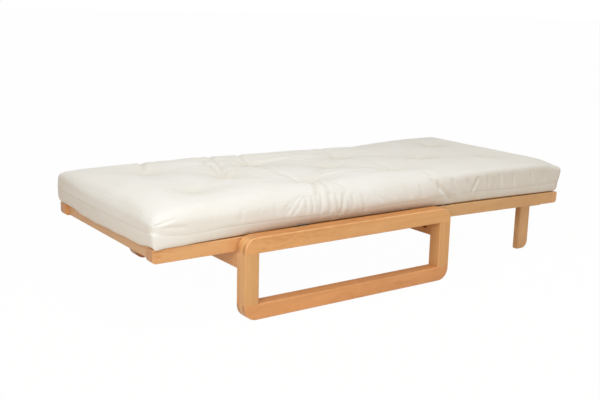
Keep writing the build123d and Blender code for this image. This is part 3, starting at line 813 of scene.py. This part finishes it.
def hang(x, y):
    """How far the lower edge hangs down where nothing bears it, at the left end and outside the near rail."""
    past_bar = falls(x, END_BAR_FACE_X - 0.016, END_BAR_FACE_X - 0.003)
    scallop = (steps(y, -0.370, -0.300) * falls(y, 0.150, 0.260)
               * (1 + SCALLOP_SHARE * np.sin(y * SCALLOP_TURN)))
    outside = falls(y, NEAR_Y + 0.0005, -HALF_DECK)
    lap = outside * (RAIL_LAP * falls(x, -0.86, -0.70) + CORNER_LAP * falls(x, -0.965, -0.93))
    past_rail = falls(x, -HALF_BED - 0.006, -HALF_BED - 0.0015) * falls(y, -0.35, -0.31)
    return END_HANG * past_bar * scallop + np.maximum(lap, PAST_RAIL_HANG * past_rail)


def shape_cover(cover, look):
    """Round, crown and tuft the cover, draw its sides in and lay it on the deck."""
    x, y, z = turned_over(cover.flat, look).T
    side = (y - NEAR_Y) / (FAR_Y - NEAR_Y)
    z = filled(x, y, z, side, look)
    z = z - np.where(cover.on_top, tuft_bowls(x, y, DIP_BOWL) * look.tuft_depth, 0.0)
    x, y = drawn_in(x, y, z, side)
    z = z - hang(x, y) * np.clip(1.0 - z / HANGING_HEIGHT, 0.0, 1.0)
    seam_share = np.interp(x, DRAW_PLACES, SEAM_SHARES) - 1.0
    toward_end = np.maximum(steps(-side, -0.5, 0.0), falls(x, LEFT_X, LEFT_X + 0.03))
    z = z + look.seam_height * seam_share * swell(z - look.seam_height, SEAM_REACH) * toward_end
    return np.stack([x, y, z + deck_height(x) + REST_GAP], axis=1)


# Where the cover has spare cloth: how much at the two folds of the near side, with their reach, how much
# of that its top has, how much everywhere, and how much in a ring round each tie
SLACK_FOLDS = ((-0.27, 1.0), (0.27, 0.7))
FOLD_REACH = 0.11
TOP_FOLD_SHARE, EVEN_SLACK, TIE_SLACK = 0.25, 0.08, 0.40
TIE_RING, TIE_RING_REACH = 0.05, 0.04


def slack_weights(cover, points):
    """Where the cover has spare cloth: round the ties and at the folds of the near side."""
    x, y = points[:, 0], points[:, 1]
    ring = TIE_SLACK * swell(tuft_gaps(x, y).min(axis=0) - TIE_RING, TIE_RING_REACH) * cover.on_top
    folds = sum(share * swell(x - fold, FOLD_REACH) for fold, share in SLACK_FOLDS)
    sides = np.where(cover.on_top, TOP_FOLD_SHARE, 1.0) * folds
    return np.clip((ring + EVEN_SLACK) * steps(x, -0.75, -0.35) + sides, 0.0, 1.0)


def weight_group(piece, name, weights):
    """Add a vertex group with each point's weight, and return its name."""
    group = piece.vertex_groups.new(name=name)
    for point in np.flatnonzero(weights):
        group.add([int(point)], float(weights[point]), "REPLACE")
    return group.name


# How the cover's cloth behaves while the filling pushes it out, and for how many frames
CLOTH_SETTINGS = {
    "quality": 5, "mass": 0.25, "tension_stiffness": 25, "compression_stiffness": 10, "shear_stiffness": 8,
    "bending_stiffness": 0.5, "tension_damping": 8, "compression_damping": 8, "shear_damping": 8,
    "air_damping": 3, "shrink_min": 0.0, "use_pressure": True,
}
FILLING_FRAMES = 22
TIE_RADIUS = 0.010


def fill_out(piece, look, cover, points):
    """Blow the cover up against its ties with a short cloth simulation, and keep the result."""
    at_tie = (tuft_gaps(points[:, 0], points[:, 1]).min(axis=0) < TIE_RADIUS) & cover.on_top
    held = weight_group(piece, "Held", (cover.on_base | at_tie).astype(float))
    spare = weight_group(piece, "Spare Cloth", slack_weights(cover, points))
    cloth = piece.modifiers.new("Filling", "CLOTH")
    for name, value in CLOTH_SETTINGS.items():
        setattr(cloth.settings, name, value)
    cloth.settings.shrink_max = -look.slack
    cloth.settings.vertex_group_shrink = spare
    cloth.settings.uniform_pressure_force = look.pressure
    cloth.settings.vertex_group_mass = held
    cloth.settings.effector_weights.gravity = 0.0
    cloth.collision_settings.use_collision = False
    cloth.collision_settings.use_self_collision = False
    cloth.point_cache.frame_start = 1
    cloth.point_cache.frame_end = FILLING_FRAMES
    scene = bpy.context.scene
    for number in range(1, FILLING_FRAMES + 1):
        scene.frame_set(number)
    moved = evaluated_mesh(piece)
    piece.modifiers.clear()
    piece.vertex_groups.clear()
    piece.data = moved
    write_points(moved, steadied(moved, points, read_vectors(moved.attributes["position"].data)))
    scene.frame_set(1)


EVENING_ROUNDS = 40
# How much the right end's shift is evened out, and how much of its shift the tight end loses
RIGHT_EVEN_SHARE, TIGHT_SHARE = 0.85, 0.80


def steadied(mesh, start, moved):
    """Even out how far the cover moved, most of all at its smooth ends, and hold its tight end back."""
    ends = np.empty(2 * len(mesh.edges), int)
    mesh.edges.foreach_get("vertices", ends)
    first, second = ends.reshape(-1, 2).T
    count = len(start)
    degree = (np.bincount(first, minlength=count) + np.bincount(second, minlength=count))[:, None]
    shift = moved - start
    smooth = shift.copy()
    for _ in range(EVENING_ROUNDS):
        total = np.stack([np.bincount(first, smooth[second, axis], count)
                          + np.bincount(second, smooth[first, axis], count) for axis in range(3)], axis=1)
        smooth = 0.5 * smooth + 0.5 * total / degree
    x = start[:, 0]
    even = np.maximum(falls(x, -0.60, -0.42), RIGHT_EVEN_SHARE * steps(x, 0.38, 0.55))[:, None]
    tight = (1.0 - TIGHT_SHARE * steps(x, 0.10, 0.50))[:, None]
    return start + (shift + (smooth - shift) * even) * tight


def seam_groove(mesh, cover, look):
    """Draw the seam's row of points a little way into the filling."""
    points, normals = read_surface(mesh)
    row = (cover.keys[:, 2] == cover.seam_row)[:, None]
    inward = normals * [1, 1, 0]
    write_points(mesh, points - np.where(row, inward * look.seam_depth, 0.0))


# Creases of the cloth: start and end on the unfolded cover, width and depth, in metres. Across the near
# side's edge the cover goes on downwards, so a place on that side lies past the edge by its drop.
TOP_CREASES = (
    (-0.398, 0.436, -0.358, 0.350, 0.016, 0.0056), (-0.358, 0.355, -0.392, 0.173, 0.015, 0.0056),
    (-0.392, 0.178, -0.460, 0.036, 0.014, 0.0060), (-0.206, 0.420, -0.232, 0.254, 0.016, 0.0050),
    (-0.232, 0.260, -0.240, 0.186, 0.013, 0.0040),
    (-0.262, 0.150, -0.282, -0.090, 0.024, 0.0031), (-0.282, -0.060, -0.262, -0.200, 0.022, 0.0037),
    (-0.466, 0.346, -0.444, 0.240, 0.011, 0.0046), (-0.444, 0.250, -0.470, 0.060, 0.013, 0.0052),
    (-0.455, 0.000, -0.300, -0.060, 0.018, 0.0024), (-0.700, -0.190, -0.500, -0.030, 0.030, 0.0012),
    (-0.235, -0.215, -0.030, -0.030, 0.030, 0.0019), (-0.225, 0.192, -0.010, 0.150, 0.020, 0.0016),
    (-0.255, -0.235, -0.318, -0.400, 0.018, 0.0045), (-0.240, -0.240, -0.262, -0.410, 0.014, 0.0030),
    (-0.228, -0.240, -0.180, -0.400, 0.016, 0.0028), (0.178, 0.175, 0.040, 0.020, 0.026, 0.0012),
    (0.030, -0.005, 0.190, -0.180, 0.026, 0.0017), (0.215, -0.200, 0.465, -0.030, 0.034, 0.0012),
    (0.225, 0.180, 0.470, 0.010, 0.032, 0.0011), (0.190, -0.205, -0.030, -0.215, 0.022, 0.0016),
    (-0.690, 0.440, -0.655, 0.360, 0.016, 0.0072), (-0.655, 0.366, -0.706, 0.225, 0.015, 0.0066),
    (-0.705, 0.200, -0.500, 0.370, 0.020, 0.0012), (-0.735, 0.185, -0.890, 0.210, 0.024, 0.0008),
    (-0.705, 0.175, -0.490, 0.015, 0.030, 0.0010), (0.210, -0.180, 0.207, 0.170, 0.026, 0.0012),
    (0.210, 0.205, 0.230, 0.380, 0.018, 0.0026), (0.775, 0.205, 0.760, 0.380, 0.020, 0.0024),
    (0.205, -0.215, 0.240, -0.390, 0.018, 0.0026), (0.215, -0.220, 0.330, -0.380, 0.020, 0.0012),
)
NEAR_CREASES = (
    (-0.392, 0.128, -0.462, 0.058, 0.009, 0.0028), (-0.374, 0.122, -0.440, 0.050, 0.008, 0.0024),
    (-0.368, 0.124, -0.380, 0.052, 0.009, 0.0028), (-0.345, 0.120, -0.348, 0.050, 0.008, 0.0028),
    (-0.322, 0.128, -0.330, 0.050, 0.009, 0.0026), (-0.298, 0.130, -0.316, 0.044, 0.011, 0.0042),
    (-0.268, 0.124, -0.274, 0.040, 0.010, 0.0036), (-0.238, 0.118, -0.240, 0.036, 0.010, 0.0038),
    (-0.200, 0.114, -0.232, 0.022, 0.011, 0.0042), (-0.165, 0.105, -0.172, 0.040, 0.010, 0.0026),
    (-0.200, 0.102, -0.178, 0.046, 0.010, 0.0028), (-0.124, 0.096, -0.112, 0.030, 0.010, 0.0036),
    (-0.069, 0.100, -0.032, 0.060, 0.010, 0.0030), (-0.005, 0.100, 0.026, 0.066, 0.010, 0.0030),
    (0.091, 0.100, 0.110, 0.060, 0.010, 0.0026), (0.222, 0.120, 0.270, 0.068, 0.014, 0.0074),
    (0.262, 0.076, 0.330, 0.014, 0.013, 0.0061), (0.258, 0.110, 0.262, 0.068, 0.009, 0.0038),
    (0.331, 0.106, 0.361, 0.042, 0.011, 0.0057), (0.414, 0.094, 0.444, 0.054, 0.010, 0.0046),
    (0.474, 0.094, 0.442, 0.042, 0.010, 0.0046), (0.601, 0.098, 0.614, 0.056, 0.010, 0.0027),
    (0.682, 0.092, 0.691, 0.048, 0.010, 0.0030), (0.792, 0.094, 0.806, 0.056, 0.010, 0.0030),
    (-0.571, 0.116, -0.570, 0.074, 0.009, 0.0020), (-0.508, 0.104, -0.506, 0.060, 0.009, 0.0020),
    (-0.760, 0.124, -0.752, 0.098, 0.009, 0.0014), (-0.686, 0.128, -0.680, 0.098, 0.009, 0.0014),
    (-0.992, 0.086, -0.955, 0.096, 0.008, 0.0046), (-0.960, 0.096, -0.900, 0.102, 0.009, 0.0028),
    (-0.940, 0.070, -0.860, 0.064, 0.010, 0.0018), (-0.640, 0.100, -0.650, 0.056, 0.009, 0.0016),
    (-0.430, 0.110, -0.470, 0.070, 0.009, 0.0024), (0.530, 0.104, 0.540, 0.060, 0.010, 0.0027),
    (0.160, 0.100, 0.172, 0.056, 0.010, 0.0024), (0.870, 0.090, 0.880, 0.050, 0.010, 0.0022),
)


# How wide a crease's ends fade and how low its ridges are, as shares of its width and depth
CREASE_FADE_SHARE, CREASE_RIDGE_SHARE = 1.15, 0.9


def crease_depth(a, b, line):
    """Depth of one crease at places on the cloth: a groove between two low ridges, fading at its ends."""
    start_a, start_b, end_a, end_b, width, depth = line
    run_a, run_b = end_a - start_a, end_b - start_b
    length = hypot(run_a, run_b)
    along = ((a - start_a) * run_a + (b - start_b) * run_b) / length
    off = ((a - start_a) * run_b - (b - start_b) * run_a) / length
    fade = CREASE_FADE_SHARE * width
    ends = steps(along, -fade, fade) * falls(along, length - fade, length + fade)
    return depth * ends * (1.0 - CREASE_RIDGE_SHARE * (off / width) ** 2) * swell(off, width)


# The rays round each tie: their height, the ring they lie in, how many there are of each kind, and by what
# share they weaken along which run of the bed
RAY_HEIGHT = 0.0009
RAY_RING = (0.010, 0.028, 0.045, 0.120)
RAY_COUNTS = (7, 11)
RAY_LOSS, RAY_LOSS_RUN = 0.7, (0.3, 0.5)


def wrinkle_heights(a, b, look):
    """Height of the creases and of the rays round the ties at each place of the cloth."""
    height = np.zeros(len(a))
    for line in TOP_CREASES:
        height -= crease_depth(a, b, line)
    edge = NEAR_Y - look.thickness
    for start, rise, end, fall, width, depth in NEAR_CREASES:
        height -= crease_depth(a, b, (start, edge + rise, end, edge + fall, width, depth))
    inner, full, falling, outer = RAY_RING
    many, more = RAY_COUNTS
    for number, (tuft_x, tuft_y, share) in enumerate(TUFTS):
        away = np.hypot(a - tuft_x, b - tuft_y)
        turn = np.arctan2(b - tuft_y, a - tuft_x)
        ring = steps(away, inner, full) * falls(away, falling, outer)
        rays = np.sin(many * turn + number) + 0.7 * np.sin(more * turn + 2.1 * number)
        height += RAY_HEIGHT * share * ring * rays * (1.0 - RAY_LOSS * steps(tuft_x, *RAY_LOSS_RUN))
    return height


# How dark the painted shade in a crease is for each metre of its depth
CREASE_SHADE = 80.0


def painted_shade_depths(a, b):
    """How much painted shade each place of the cloth takes, from nought to one: how deep in a tuft or a crease it
    lies.
    """
    depths = tuft_bowls(a, b, SHADE_BOWL)
    for line in TOP_CREASES:
        depths = np.maximum(depths, CREASE_SHADE * crease_depth(a, b, line))
    return np.clip(depths, 0.0, 1.0)


# The gathers' noise: pitch along the side, pitch down it, height and place in the noise
GATHERS = ((0.021, 0.10, 0.0016, 0.0), (0.055, 0.14, 0.0018, 7.0))
# How strong they are: along the near side, at its two folds, toward its right end, and on the other sides
EVEN_GATHERS, BACK_FOLD_GATHERS, FRONT_FOLD_GATHERS, RIGHT_GATHERS = 0.20, 1.0, 0.7, 0.35
OTHER_SIDE_GATHERS = 0.30
# They are full this far below the edge. The ends count as this far below it, and have their own noise.
FULL_GATHER_DROP, END_DROP, END_NOISE_PLACE = 0.045, 0.05, 5.0


def gather_heights(places):
    """Fine vertical gathers that hang from the seams all round the sides, from seeded noise."""
    a, b = places[:, 0], places[:, 1]
    near, far = b < NEAR_Y, b > FAR_Y
    ends = (a < LEFT_X) | (a > RIGHT_X)
    drop = np.where(near, NEAR_Y - b, np.where(far, b - FAR_Y, np.where(ends, END_DROP, 0.0)))
    around = np.where(near | far, a, b + END_NOISE_PLACE)
    busy = (EVEN_GATHERS + BACK_FOLD_GATHERS * swell(a + 0.27, 0.18)
            + FRONT_FOLD_GATHERS * swell(a - 0.30, 0.20) + RIGHT_GATHERS * steps(a, 0.3, 0.5))
    heights = np.zeros(len(a))
    for place in np.flatnonzero((near | far | ends) & (places[:, 2] < 0.5)):
        for pitch, fall, height, apart in GATHERS:
            spot = Vector((around[place] / pitch, drop[place] / fall, apart))
            heights[place] += noise.noise(spot) * height
    return heights * np.where(near, busy, OTHER_SIDE_GATHERS) * steps(drop, 0.0, FULL_GATHER_DROP)


THREAD_SCALE = 240.0
SLUB_LONG, SLUB_SHORT = 30.0, 420.0
FLECK_SCALE = 70.0
# Shares of the cloth's colour: where it is a little darker, in its slubs, and the painted shade in its hollows
CLOUDED_SHARES, SLUB_SHARE, PAINTED_SHADE_SHARES = (0.97, 0.955, 0.925), 0.86, (0.84, 0.805, 0.715)
PUCKER_DEPTH, WEAVE_DEPTH = 0.0016, 0.0003


def calico_material(look):
    """Unbleached calico: a fine weave with slubs, seed flecks, small puckers and painted shade in its hollows."""
    material, tree, shader = new_material("Calico")
    cloth_map = tree.nodes.new("ShaderNodeUVMap")
    cloth_map.uv_map = "Cloth"
    cloth = cloth_map.outputs["UV"]
    waves = []
    for direction in "XY":
        wave = add_node(tree, "ShaderNodeTexWave", Vector=cloth, Scale=THREAD_SCALE, Distortion=1.2)
        wave.bands_direction = direction
        waves.append(wave.outputs["Fac"])
    weave = add_math(tree, "MULTIPLY", *waves)
    long_slubs = add_mapping(tree, cloth, (SLUB_LONG, SLUB_SHORT, 1.0))
    cross_slubs = add_mapping(tree, cloth, (SLUB_SHORT, SLUB_LONG, 1.0), (3.0, 5.0, 0.0))
    slub = add_math(tree, "MAXIMUM", add_noise(tree, long_slubs, 1.0, 3.0, 0.6),
                    add_noise(tree, cross_slubs, 1.0, 3.0, 0.6))
    flecks = add_node(tree, "ShaderNodeTexVoronoi", Vector=cloth, Scale=FLECK_SCALE).outputs["Distance"]
    sparse = add_range(tree, add_noise(tree, cloth, 34.0, 2.0, 0.5), 0.56, 0.62)
    speck = add_math(tree, "MULTIPLY", add_range(tree, flecks, 0.035, 0.085, 1.0, 0.0), sparse)
    clouds = add_range(tree, add_noise(tree, cloth, 5.0, 4.0, 0.6, 0.4), 0.3, 0.7)
    colour = add_mix(tree, clouds, rgba(look.cloth), rgba(np.multiply(look.cloth, CLOUDED_SHARES)))
    colour = add_mix(tree, add_range(tree, slub, 0.62, 0.8, 0.0, 0.25), colour, rgba(look.cloth, SLUB_SHARE))
    colour = add_mix(tree, add_math(tree, "MULTIPLY", speck, 0.55), colour, rgba(look.fleck))
    # Painted shade in the tufts and creases, read from the cover's attribute
    hollow = tree.nodes.new("ShaderNodeAttribute")
    hollow.attribute_name = "hollow"
    colour = add_mix(tree, hollow.outputs["Fac"], colour, add_shade(tree, colour, rgba(PAINTED_SHADE_SHARES)))
    puckers = add_bump(tree, add_noise(tree, cloth, 46.0, 5.0, 0.62, 0.5), PUCKER_DEPTH, 0.42)
    threads = add_bump(tree, add_math(tree, "ADD", weave, slub), WEAVE_DEPTH, 0.35, Normal=puckers)
    set_inputs(tree, shader, Base_Color=colour, Roughness=add_range(tree, slub, 0.4, 0.8, 0.86, 0.97),
               Specular_IOR_Level=0.18, Sheen_Weight=0.10, Sheen_Roughness=0.5, Normal=threads)
    return material


def thread_material(look):
    """Spun cotton thread, a little darker than the cover."""
    material, tree, shader = new_material("Seam_Thread")
    coordinates = tree.nodes.new("ShaderNodeTexCoord")
    twist = add_noise(tree, coordinates.outputs["Object"], 900.0, 2.0, 0.5)
    colour = add_mix(tree, add_range(tree, twist, 0.35, 0.65), rgba(look.cloth, 0.86), rgba(look.cloth, 0.68))
    set_inputs(tree, shader, Base_Color=colour, Roughness=add_range(tree, twist, 0.3, 0.7, 0.8, 0.95),
               Normal=add_bump(tree, twist, 0.0002, 0.4))
    return material


def subdivided(piece):
    """Smooth the cover once and return its final mesh."""
    smooth = piece.modifiers.new("Smooth", "SUBSURF")
    smooth.levels = 1
    smooth.render_levels = 1
    final = evaluated_mesh(piece)
    piece.modifiers.clear()
    return final


def wrinkle(final, look):
    """Press the creases and gathers into the finished cover, but not into its flat base."""
    points, normals = read_surface(final)
    places = read_vectors(final.attributes["cloth_place"].data)
    height = wrinkle_heights(places[:, 0], places[:, 1], look) + gather_heights(places)
    height *= falls(places[:, 2], 0.0, 0.5)
    write_points(final, points + normals * height[:, None])
    # Painted shade: how far the cloth's colour is darkened in the tufts and creases
    shade_layer = final.attributes.new("hollow", "FLOAT", "POINT")
    shade_layer.data.foreach_set("value", painted_shade_depths(places[:, 0], places[:, 1]))


def half_of(final, name, behind):
    """One half of the cover, closed at the split, with the whole cover's shading."""
    normals = read_vectors(final.vertex_normals)
    columns = read_vectors(final.attributes["cloth_place"].data)[:, 0]
    work = bmesh.new()
    work.from_mesh(final)
    wrong = [face for face in work.faces
             if (sum(columns[corner.index] for corner in face.verts) < SPLIT_X * len(face.verts)) != behind]
    bmesh.ops.delete(work, geom=wrong, context="FACES")
    rim = [edge for edge in work.edges if edge.is_boundary]
    cap = set(bmesh.ops.contextual_create(work, geom=rim)["faces"])
    bmesh.ops.recalc_face_normals(work, faces=work.faces)
    for face in work.faces:
        face.smooth = face not in cap
    work.faces.index_update()
    flags = [face in cap for face in work.faces]
    mesh = bpy.data.meshes.new(name)
    work.to_mesh(mesh)
    work.free()
    source, corners = np.empty(len(mesh.vertices), int), np.empty(len(mesh.loops), int)
    mesh.attributes["source"].data.foreach_get("value", source)
    mesh.loops.foreach_get("vertex_index", corners)
    shading = normals[source[corners]]
    for polygon, is_cap in zip(mesh.polygons, flags):
        if is_cap:
            shading[list(polygon.loop_indices)] = polygon.normal
    mesh.normals_split_custom_set(shading.tolist())
    return mesh


def lay_cloth(mesh, cover):
    """Give the cover its cloth coordinates as a UV map and a point attribute."""
    layer = mesh.uv_layers.new(name="Cloth")
    corners = np.array([corner for face in cover.faces for corner in face])
    layer.data.foreach_set("uv", cover.places[corners][:, :2].ravel())
    places = mesh.attributes.new("cloth_place", "FLOAT_VECTOR", "POINT")
    places.data.foreach_set("vector", cover.places.ravel())


THREAD_PROUD = 0.0002


def seam_line(final, cover, behind):
    """The seam of one half as a chain of points, a little proud of the groove."""
    nx, ny, nz = cover.counts
    row = cover.seam_row
    near = [(i, 0) for i in range(nx + 1)]
    right_end = [(nx, j) for j in range(1, ny + 1)]
    far = [(i, ny) for i in range(nx - 1, -1, -1)]
    left_end = [(0, j) for j in range(ny - 1, 0, -1)]
    ring = [cover.index[(i, j, row)] for i, j in near + right_end + far + left_end]
    columns = cover.places[ring][:, 0]
    keep = columns < SPLIT_X if behind else columns > SPLIT_X
    first = next(spot for spot in range(len(ring)) if keep[spot] and not keep[spot - 1])
    chain = [ring[(first + step) % len(ring)] for step in range(int(keep.sum()))]
    points, normals = read_surface(final)
    path = points[chain] + normals[chain] * THREAD_PROUD
    return new_mesh("Seam_Line", path.tolist(), [(spot, spot + 1) for spot in range(len(chain) - 1)])


# Reach on each side of the back and of the front hinge, listed with each half of the futon
BACK_BEND, FRONT_BEND = 0.12, 0.155


def whole_cover(look):
    """The shaped, filled and wrinkled cover as one mesh, and its grid."""
    cover = Cover(look)
    points = shape_cover(cover, look)
    piece = new_object("Futon_Whole", new_mesh("Futon_Cover", points.tolist(), (), cover.faces))
    lay_cloth(piece.data, cover)
    fill_out(piece, look, cover, points)
    seam_groove(piece.data, cover, look)
    final = subdivided(piece)
    wrinkle(final, look)
    source = final.attributes.new("source", "INT", "POINT")
    source.data.foreach_set("value", np.arange(len(final.vertices)))
    bpy.data.objects.remove(piece)
    return final, cover


class BED_OT_futon(bpy.types.Operator):
    """Make the tufted futon and split it in the middle of the seat"""
    bl_idname = "bed.futon"
    bl_label = "Make Futon"

    def execute(self, context):
        look = context.scene.bed_futon
        final, cover = whole_cover(look)
        material, thread, stitches = calico_material(look), thread_material(look), stitch_tree()
        halves = (
            ("Futon_Back_Half", True, "back", "base", BACK_HINGE, BACK_BEND,
             ("futon_back", "futon_back_fold", "futon_seat")),
            ("Futon_Front_Half", False, "base", "extension", FRONT_HINGE, FRONT_BEND,
             ("futon_extension_fold", "futon_extension")),
        )
        for name, behind, first, second, hinge, reach, nodes in halves:
            half = new_object(name, half_of(final, name, behind))
            dress(half, material)
            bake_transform(half)
            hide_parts(*nodes)
            line = seam_line(final, cover, behind)
            seam = made_by_nodes(name.replace("Half", "Seam"), line, stitches, {"Material": thread})
            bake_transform(seam)
        return {"FINISHED"}


# Stage

CAMERA_PLACE = Vector((-2.1561, -2.8593, 1.0612))
CAMERA_YAW, CAMERA_PITCH, CAMERA_ROLL = 35.402, 12.677, 1.402
CAMERA_FOCAL_PIXELS = 887.3
PHOTO_WIDTH_PIXELS = 600
SENSOR_WIDTH_MM = 36.0

# Place, aim, size and colour of the large light above and of the one in front
KEY_LIGHT = ((-0.30, -1.0, 3.4), (0.1, 0.0, 0.3), 2.6, (0.865, 0.945, 1.0))
FRONT_LIGHT = ((-2.2, -1.8, 1.5), (-0.7, -0.2, 0.3), 1.0, (0.90, 0.96, 1.0))
HALF_FLOOR = 60.0
FLOOR_WHITE_SHARE = 0.985


def camera_matrix():
    """The camera's place and turn, from its yaw, pitch and roll."""
    yaw, pitch, roll = (radians(angle) for angle in (CAMERA_YAW, CAMERA_PITCH, CAMERA_ROLL))
    ahead = Vector((sin(yaw) * cos(pitch), cos(yaw) * cos(pitch), -sin(pitch)))
    level_right = Vector((cos(yaw), -sin(yaw), 0))
    level_up = level_right.cross(ahead)
    right = level_right * cos(roll) + level_up * sin(roll)
    up = level_up * cos(roll) - level_right * sin(roll)
    turn = Matrix((right, up, -ahead)).transposed().to_4x4()
    return Matrix.Translation(CAMERA_PLACE) @ turn


def soft_light(name, power, place, target, size, colour):
    """A square area light aimed at a point."""
    data = bpy.data.lights.new(name, "AREA")
    data.size = size
    data.energy = power
    data.color = colour
    aim = (Vector(target) - Vector(place)).to_track_quat("-Z", "Y").to_matrix().to_4x4()
    new_object(name, data).matrix_world = Matrix.Translation(place) @ aim


def white_where_seen(tree, shaded, white, share):
    """Mix a shader with plain white for what the camera, mirrors and glass see."""
    rays = tree.nodes.new("ShaderNodeLightPath").outputs
    seen = add_math(tree, "MAXIMUM", rays["Is Camera Ray"], rays["Is Glossy Ray"])
    seen = add_math(tree, "MAXIMUM", seen, rays["Is Transmission Ray"])
    mix = add_node(tree, "ShaderNodeMixShader", Fac=add_math(tree, "MULTIPLY", seen, share))
    feed(tree, mix.inputs[1], shaded.outputs[0])
    feed(tree, mix.inputs[2], white.outputs[0])
    return mix.outputs[0]


def lay_floor(look):
    """A wide pale floor that takes the shadow."""
    corners = [(x * HALF_FLOOR, y * HALF_FLOOR, 0.0) for x, y in ((-1, -1), (1, -1), (1, 1), (-1, 1))]
    floor = new_object("Floor", new_mesh("Floor", corners, (), [(0, 1, 2, 3)]))
    material, tree, shader = new_material("Pale_Floor")
    tree.nodes.remove(shader)
    plain = add_node(tree, "ShaderNodeBsdfDiffuse", Color=rgba(look.floor))
    white = add_node(tree, "ShaderNodeEmission", Color=rgba((1, 1, 1)))
    set_inputs(tree, first_node(tree, "OUTPUT_MATERIAL"),
               Surface=white_where_seen(tree, plain, white, FLOOR_WHITE_SHARE))
    dress(floor, material)


def fill_room(look):
    """Light from all round, and white where the room itself is seen."""
    world = bpy.data.worlds.new("Pale_Room")
    world.use_nodes = True
    bpy.context.scene.world = world
    tree = world.node_tree
    ambient = first_node(tree, "BACKGROUND")
    set_inputs(tree, ambient, Color=rgba(look.ambient_tint), Strength=look.ambient)
    white = add_node(tree, "ShaderNodeBackground", Color=rgba((1, 1, 1)), Strength=1.0)
    set_inputs(tree, first_node(tree, "OUTPUT_WORLD"), Surface=white_where_seen(tree, ambient, white, 1.0))


def set_camera():
    """The camera where the photo was taken from."""
    data = bpy.data.cameras.new("Camera")
    data.sensor_width = SENSOR_WIDTH_MM
    data.sensor_fit = "HORIZONTAL"
    data.lens = SENSOR_WIDTH_MM * CAMERA_FOCAL_PIXELS / PHOTO_WIDTH_PIXELS
    camera = new_object("Camera", data)
    camera.matrix_world = camera_matrix()
    bpy.context.scene.camera = camera


class BED_OT_stage(bpy.types.Operator):
    """Lay the floor and set the lights and the camera"""
    bl_idname = "bed.stage"
    bl_label = "Set Stage"

    def execute(self, context):
        look = context.scene.bed_stage
        lay_floor(look)
        fill_room(look)
        soft_light("Key", look.key_power, *KEY_LIGHT)
        soft_light("Front", look.fill_power, *FRONT_LIGHT)
        set_camera()
        context.scene.view_settings.view_transform = "Standard"
        return {"FINISHED"}


class BED_PT_panel(bpy.types.Panel):
    """Sizes, colours and steps of the folding bed"""
    bl_label = "Folding Bed"
    bl_space_type = "VIEW_3D"
    bl_region_type = "UI"
    bl_category = "Folding Bed"

    def draw(self, context):
        layout = self.layout
        for operator in OPERATORS:
            layout.operator(operator.bl_idname)
        for group in LOOKS:
            look = getattr(context.scene, group)
            box = layout.box()
            for name in look.__annotations__:
                box.prop(look, name)


LOOKS = {"bed_timber": TimberLook, "bed_steel": SteelLook, "bed_futon": FutonLook, "bed_stage": StageLook}
OPERATORS = (BED_OT_timber, BED_OT_steel, BED_OT_futon, BED_OT_stage)


def register():
    """Add the classes and the scene's property groups."""
    for cls in (*LOOKS.values(), *OPERATORS, BED_PT_panel):
        bpy.utils.register_class(cls)
    for name, cls in LOOKS.items():
        setattr(bpy.types.Scene, name, bpy.props.PointerProperty(type=cls))


def unregister():
    """Remove what register added."""
    for name in LOOKS:
        delattr(bpy.types.Scene, name)
    for cls in reversed((*LOOKS.values(), *OPERATORS, BED_PT_panel)):
        bpy.utils.unregister_class(cls)


def main():
    """Make everything, in order."""
    register()
    bpy.ops.bed.timber()
    bpy.ops.bed.steel()
    bpy.ops.bed.futon()
    bpy.ops.bed.stage()


if __name__ == "__main__":
    main()
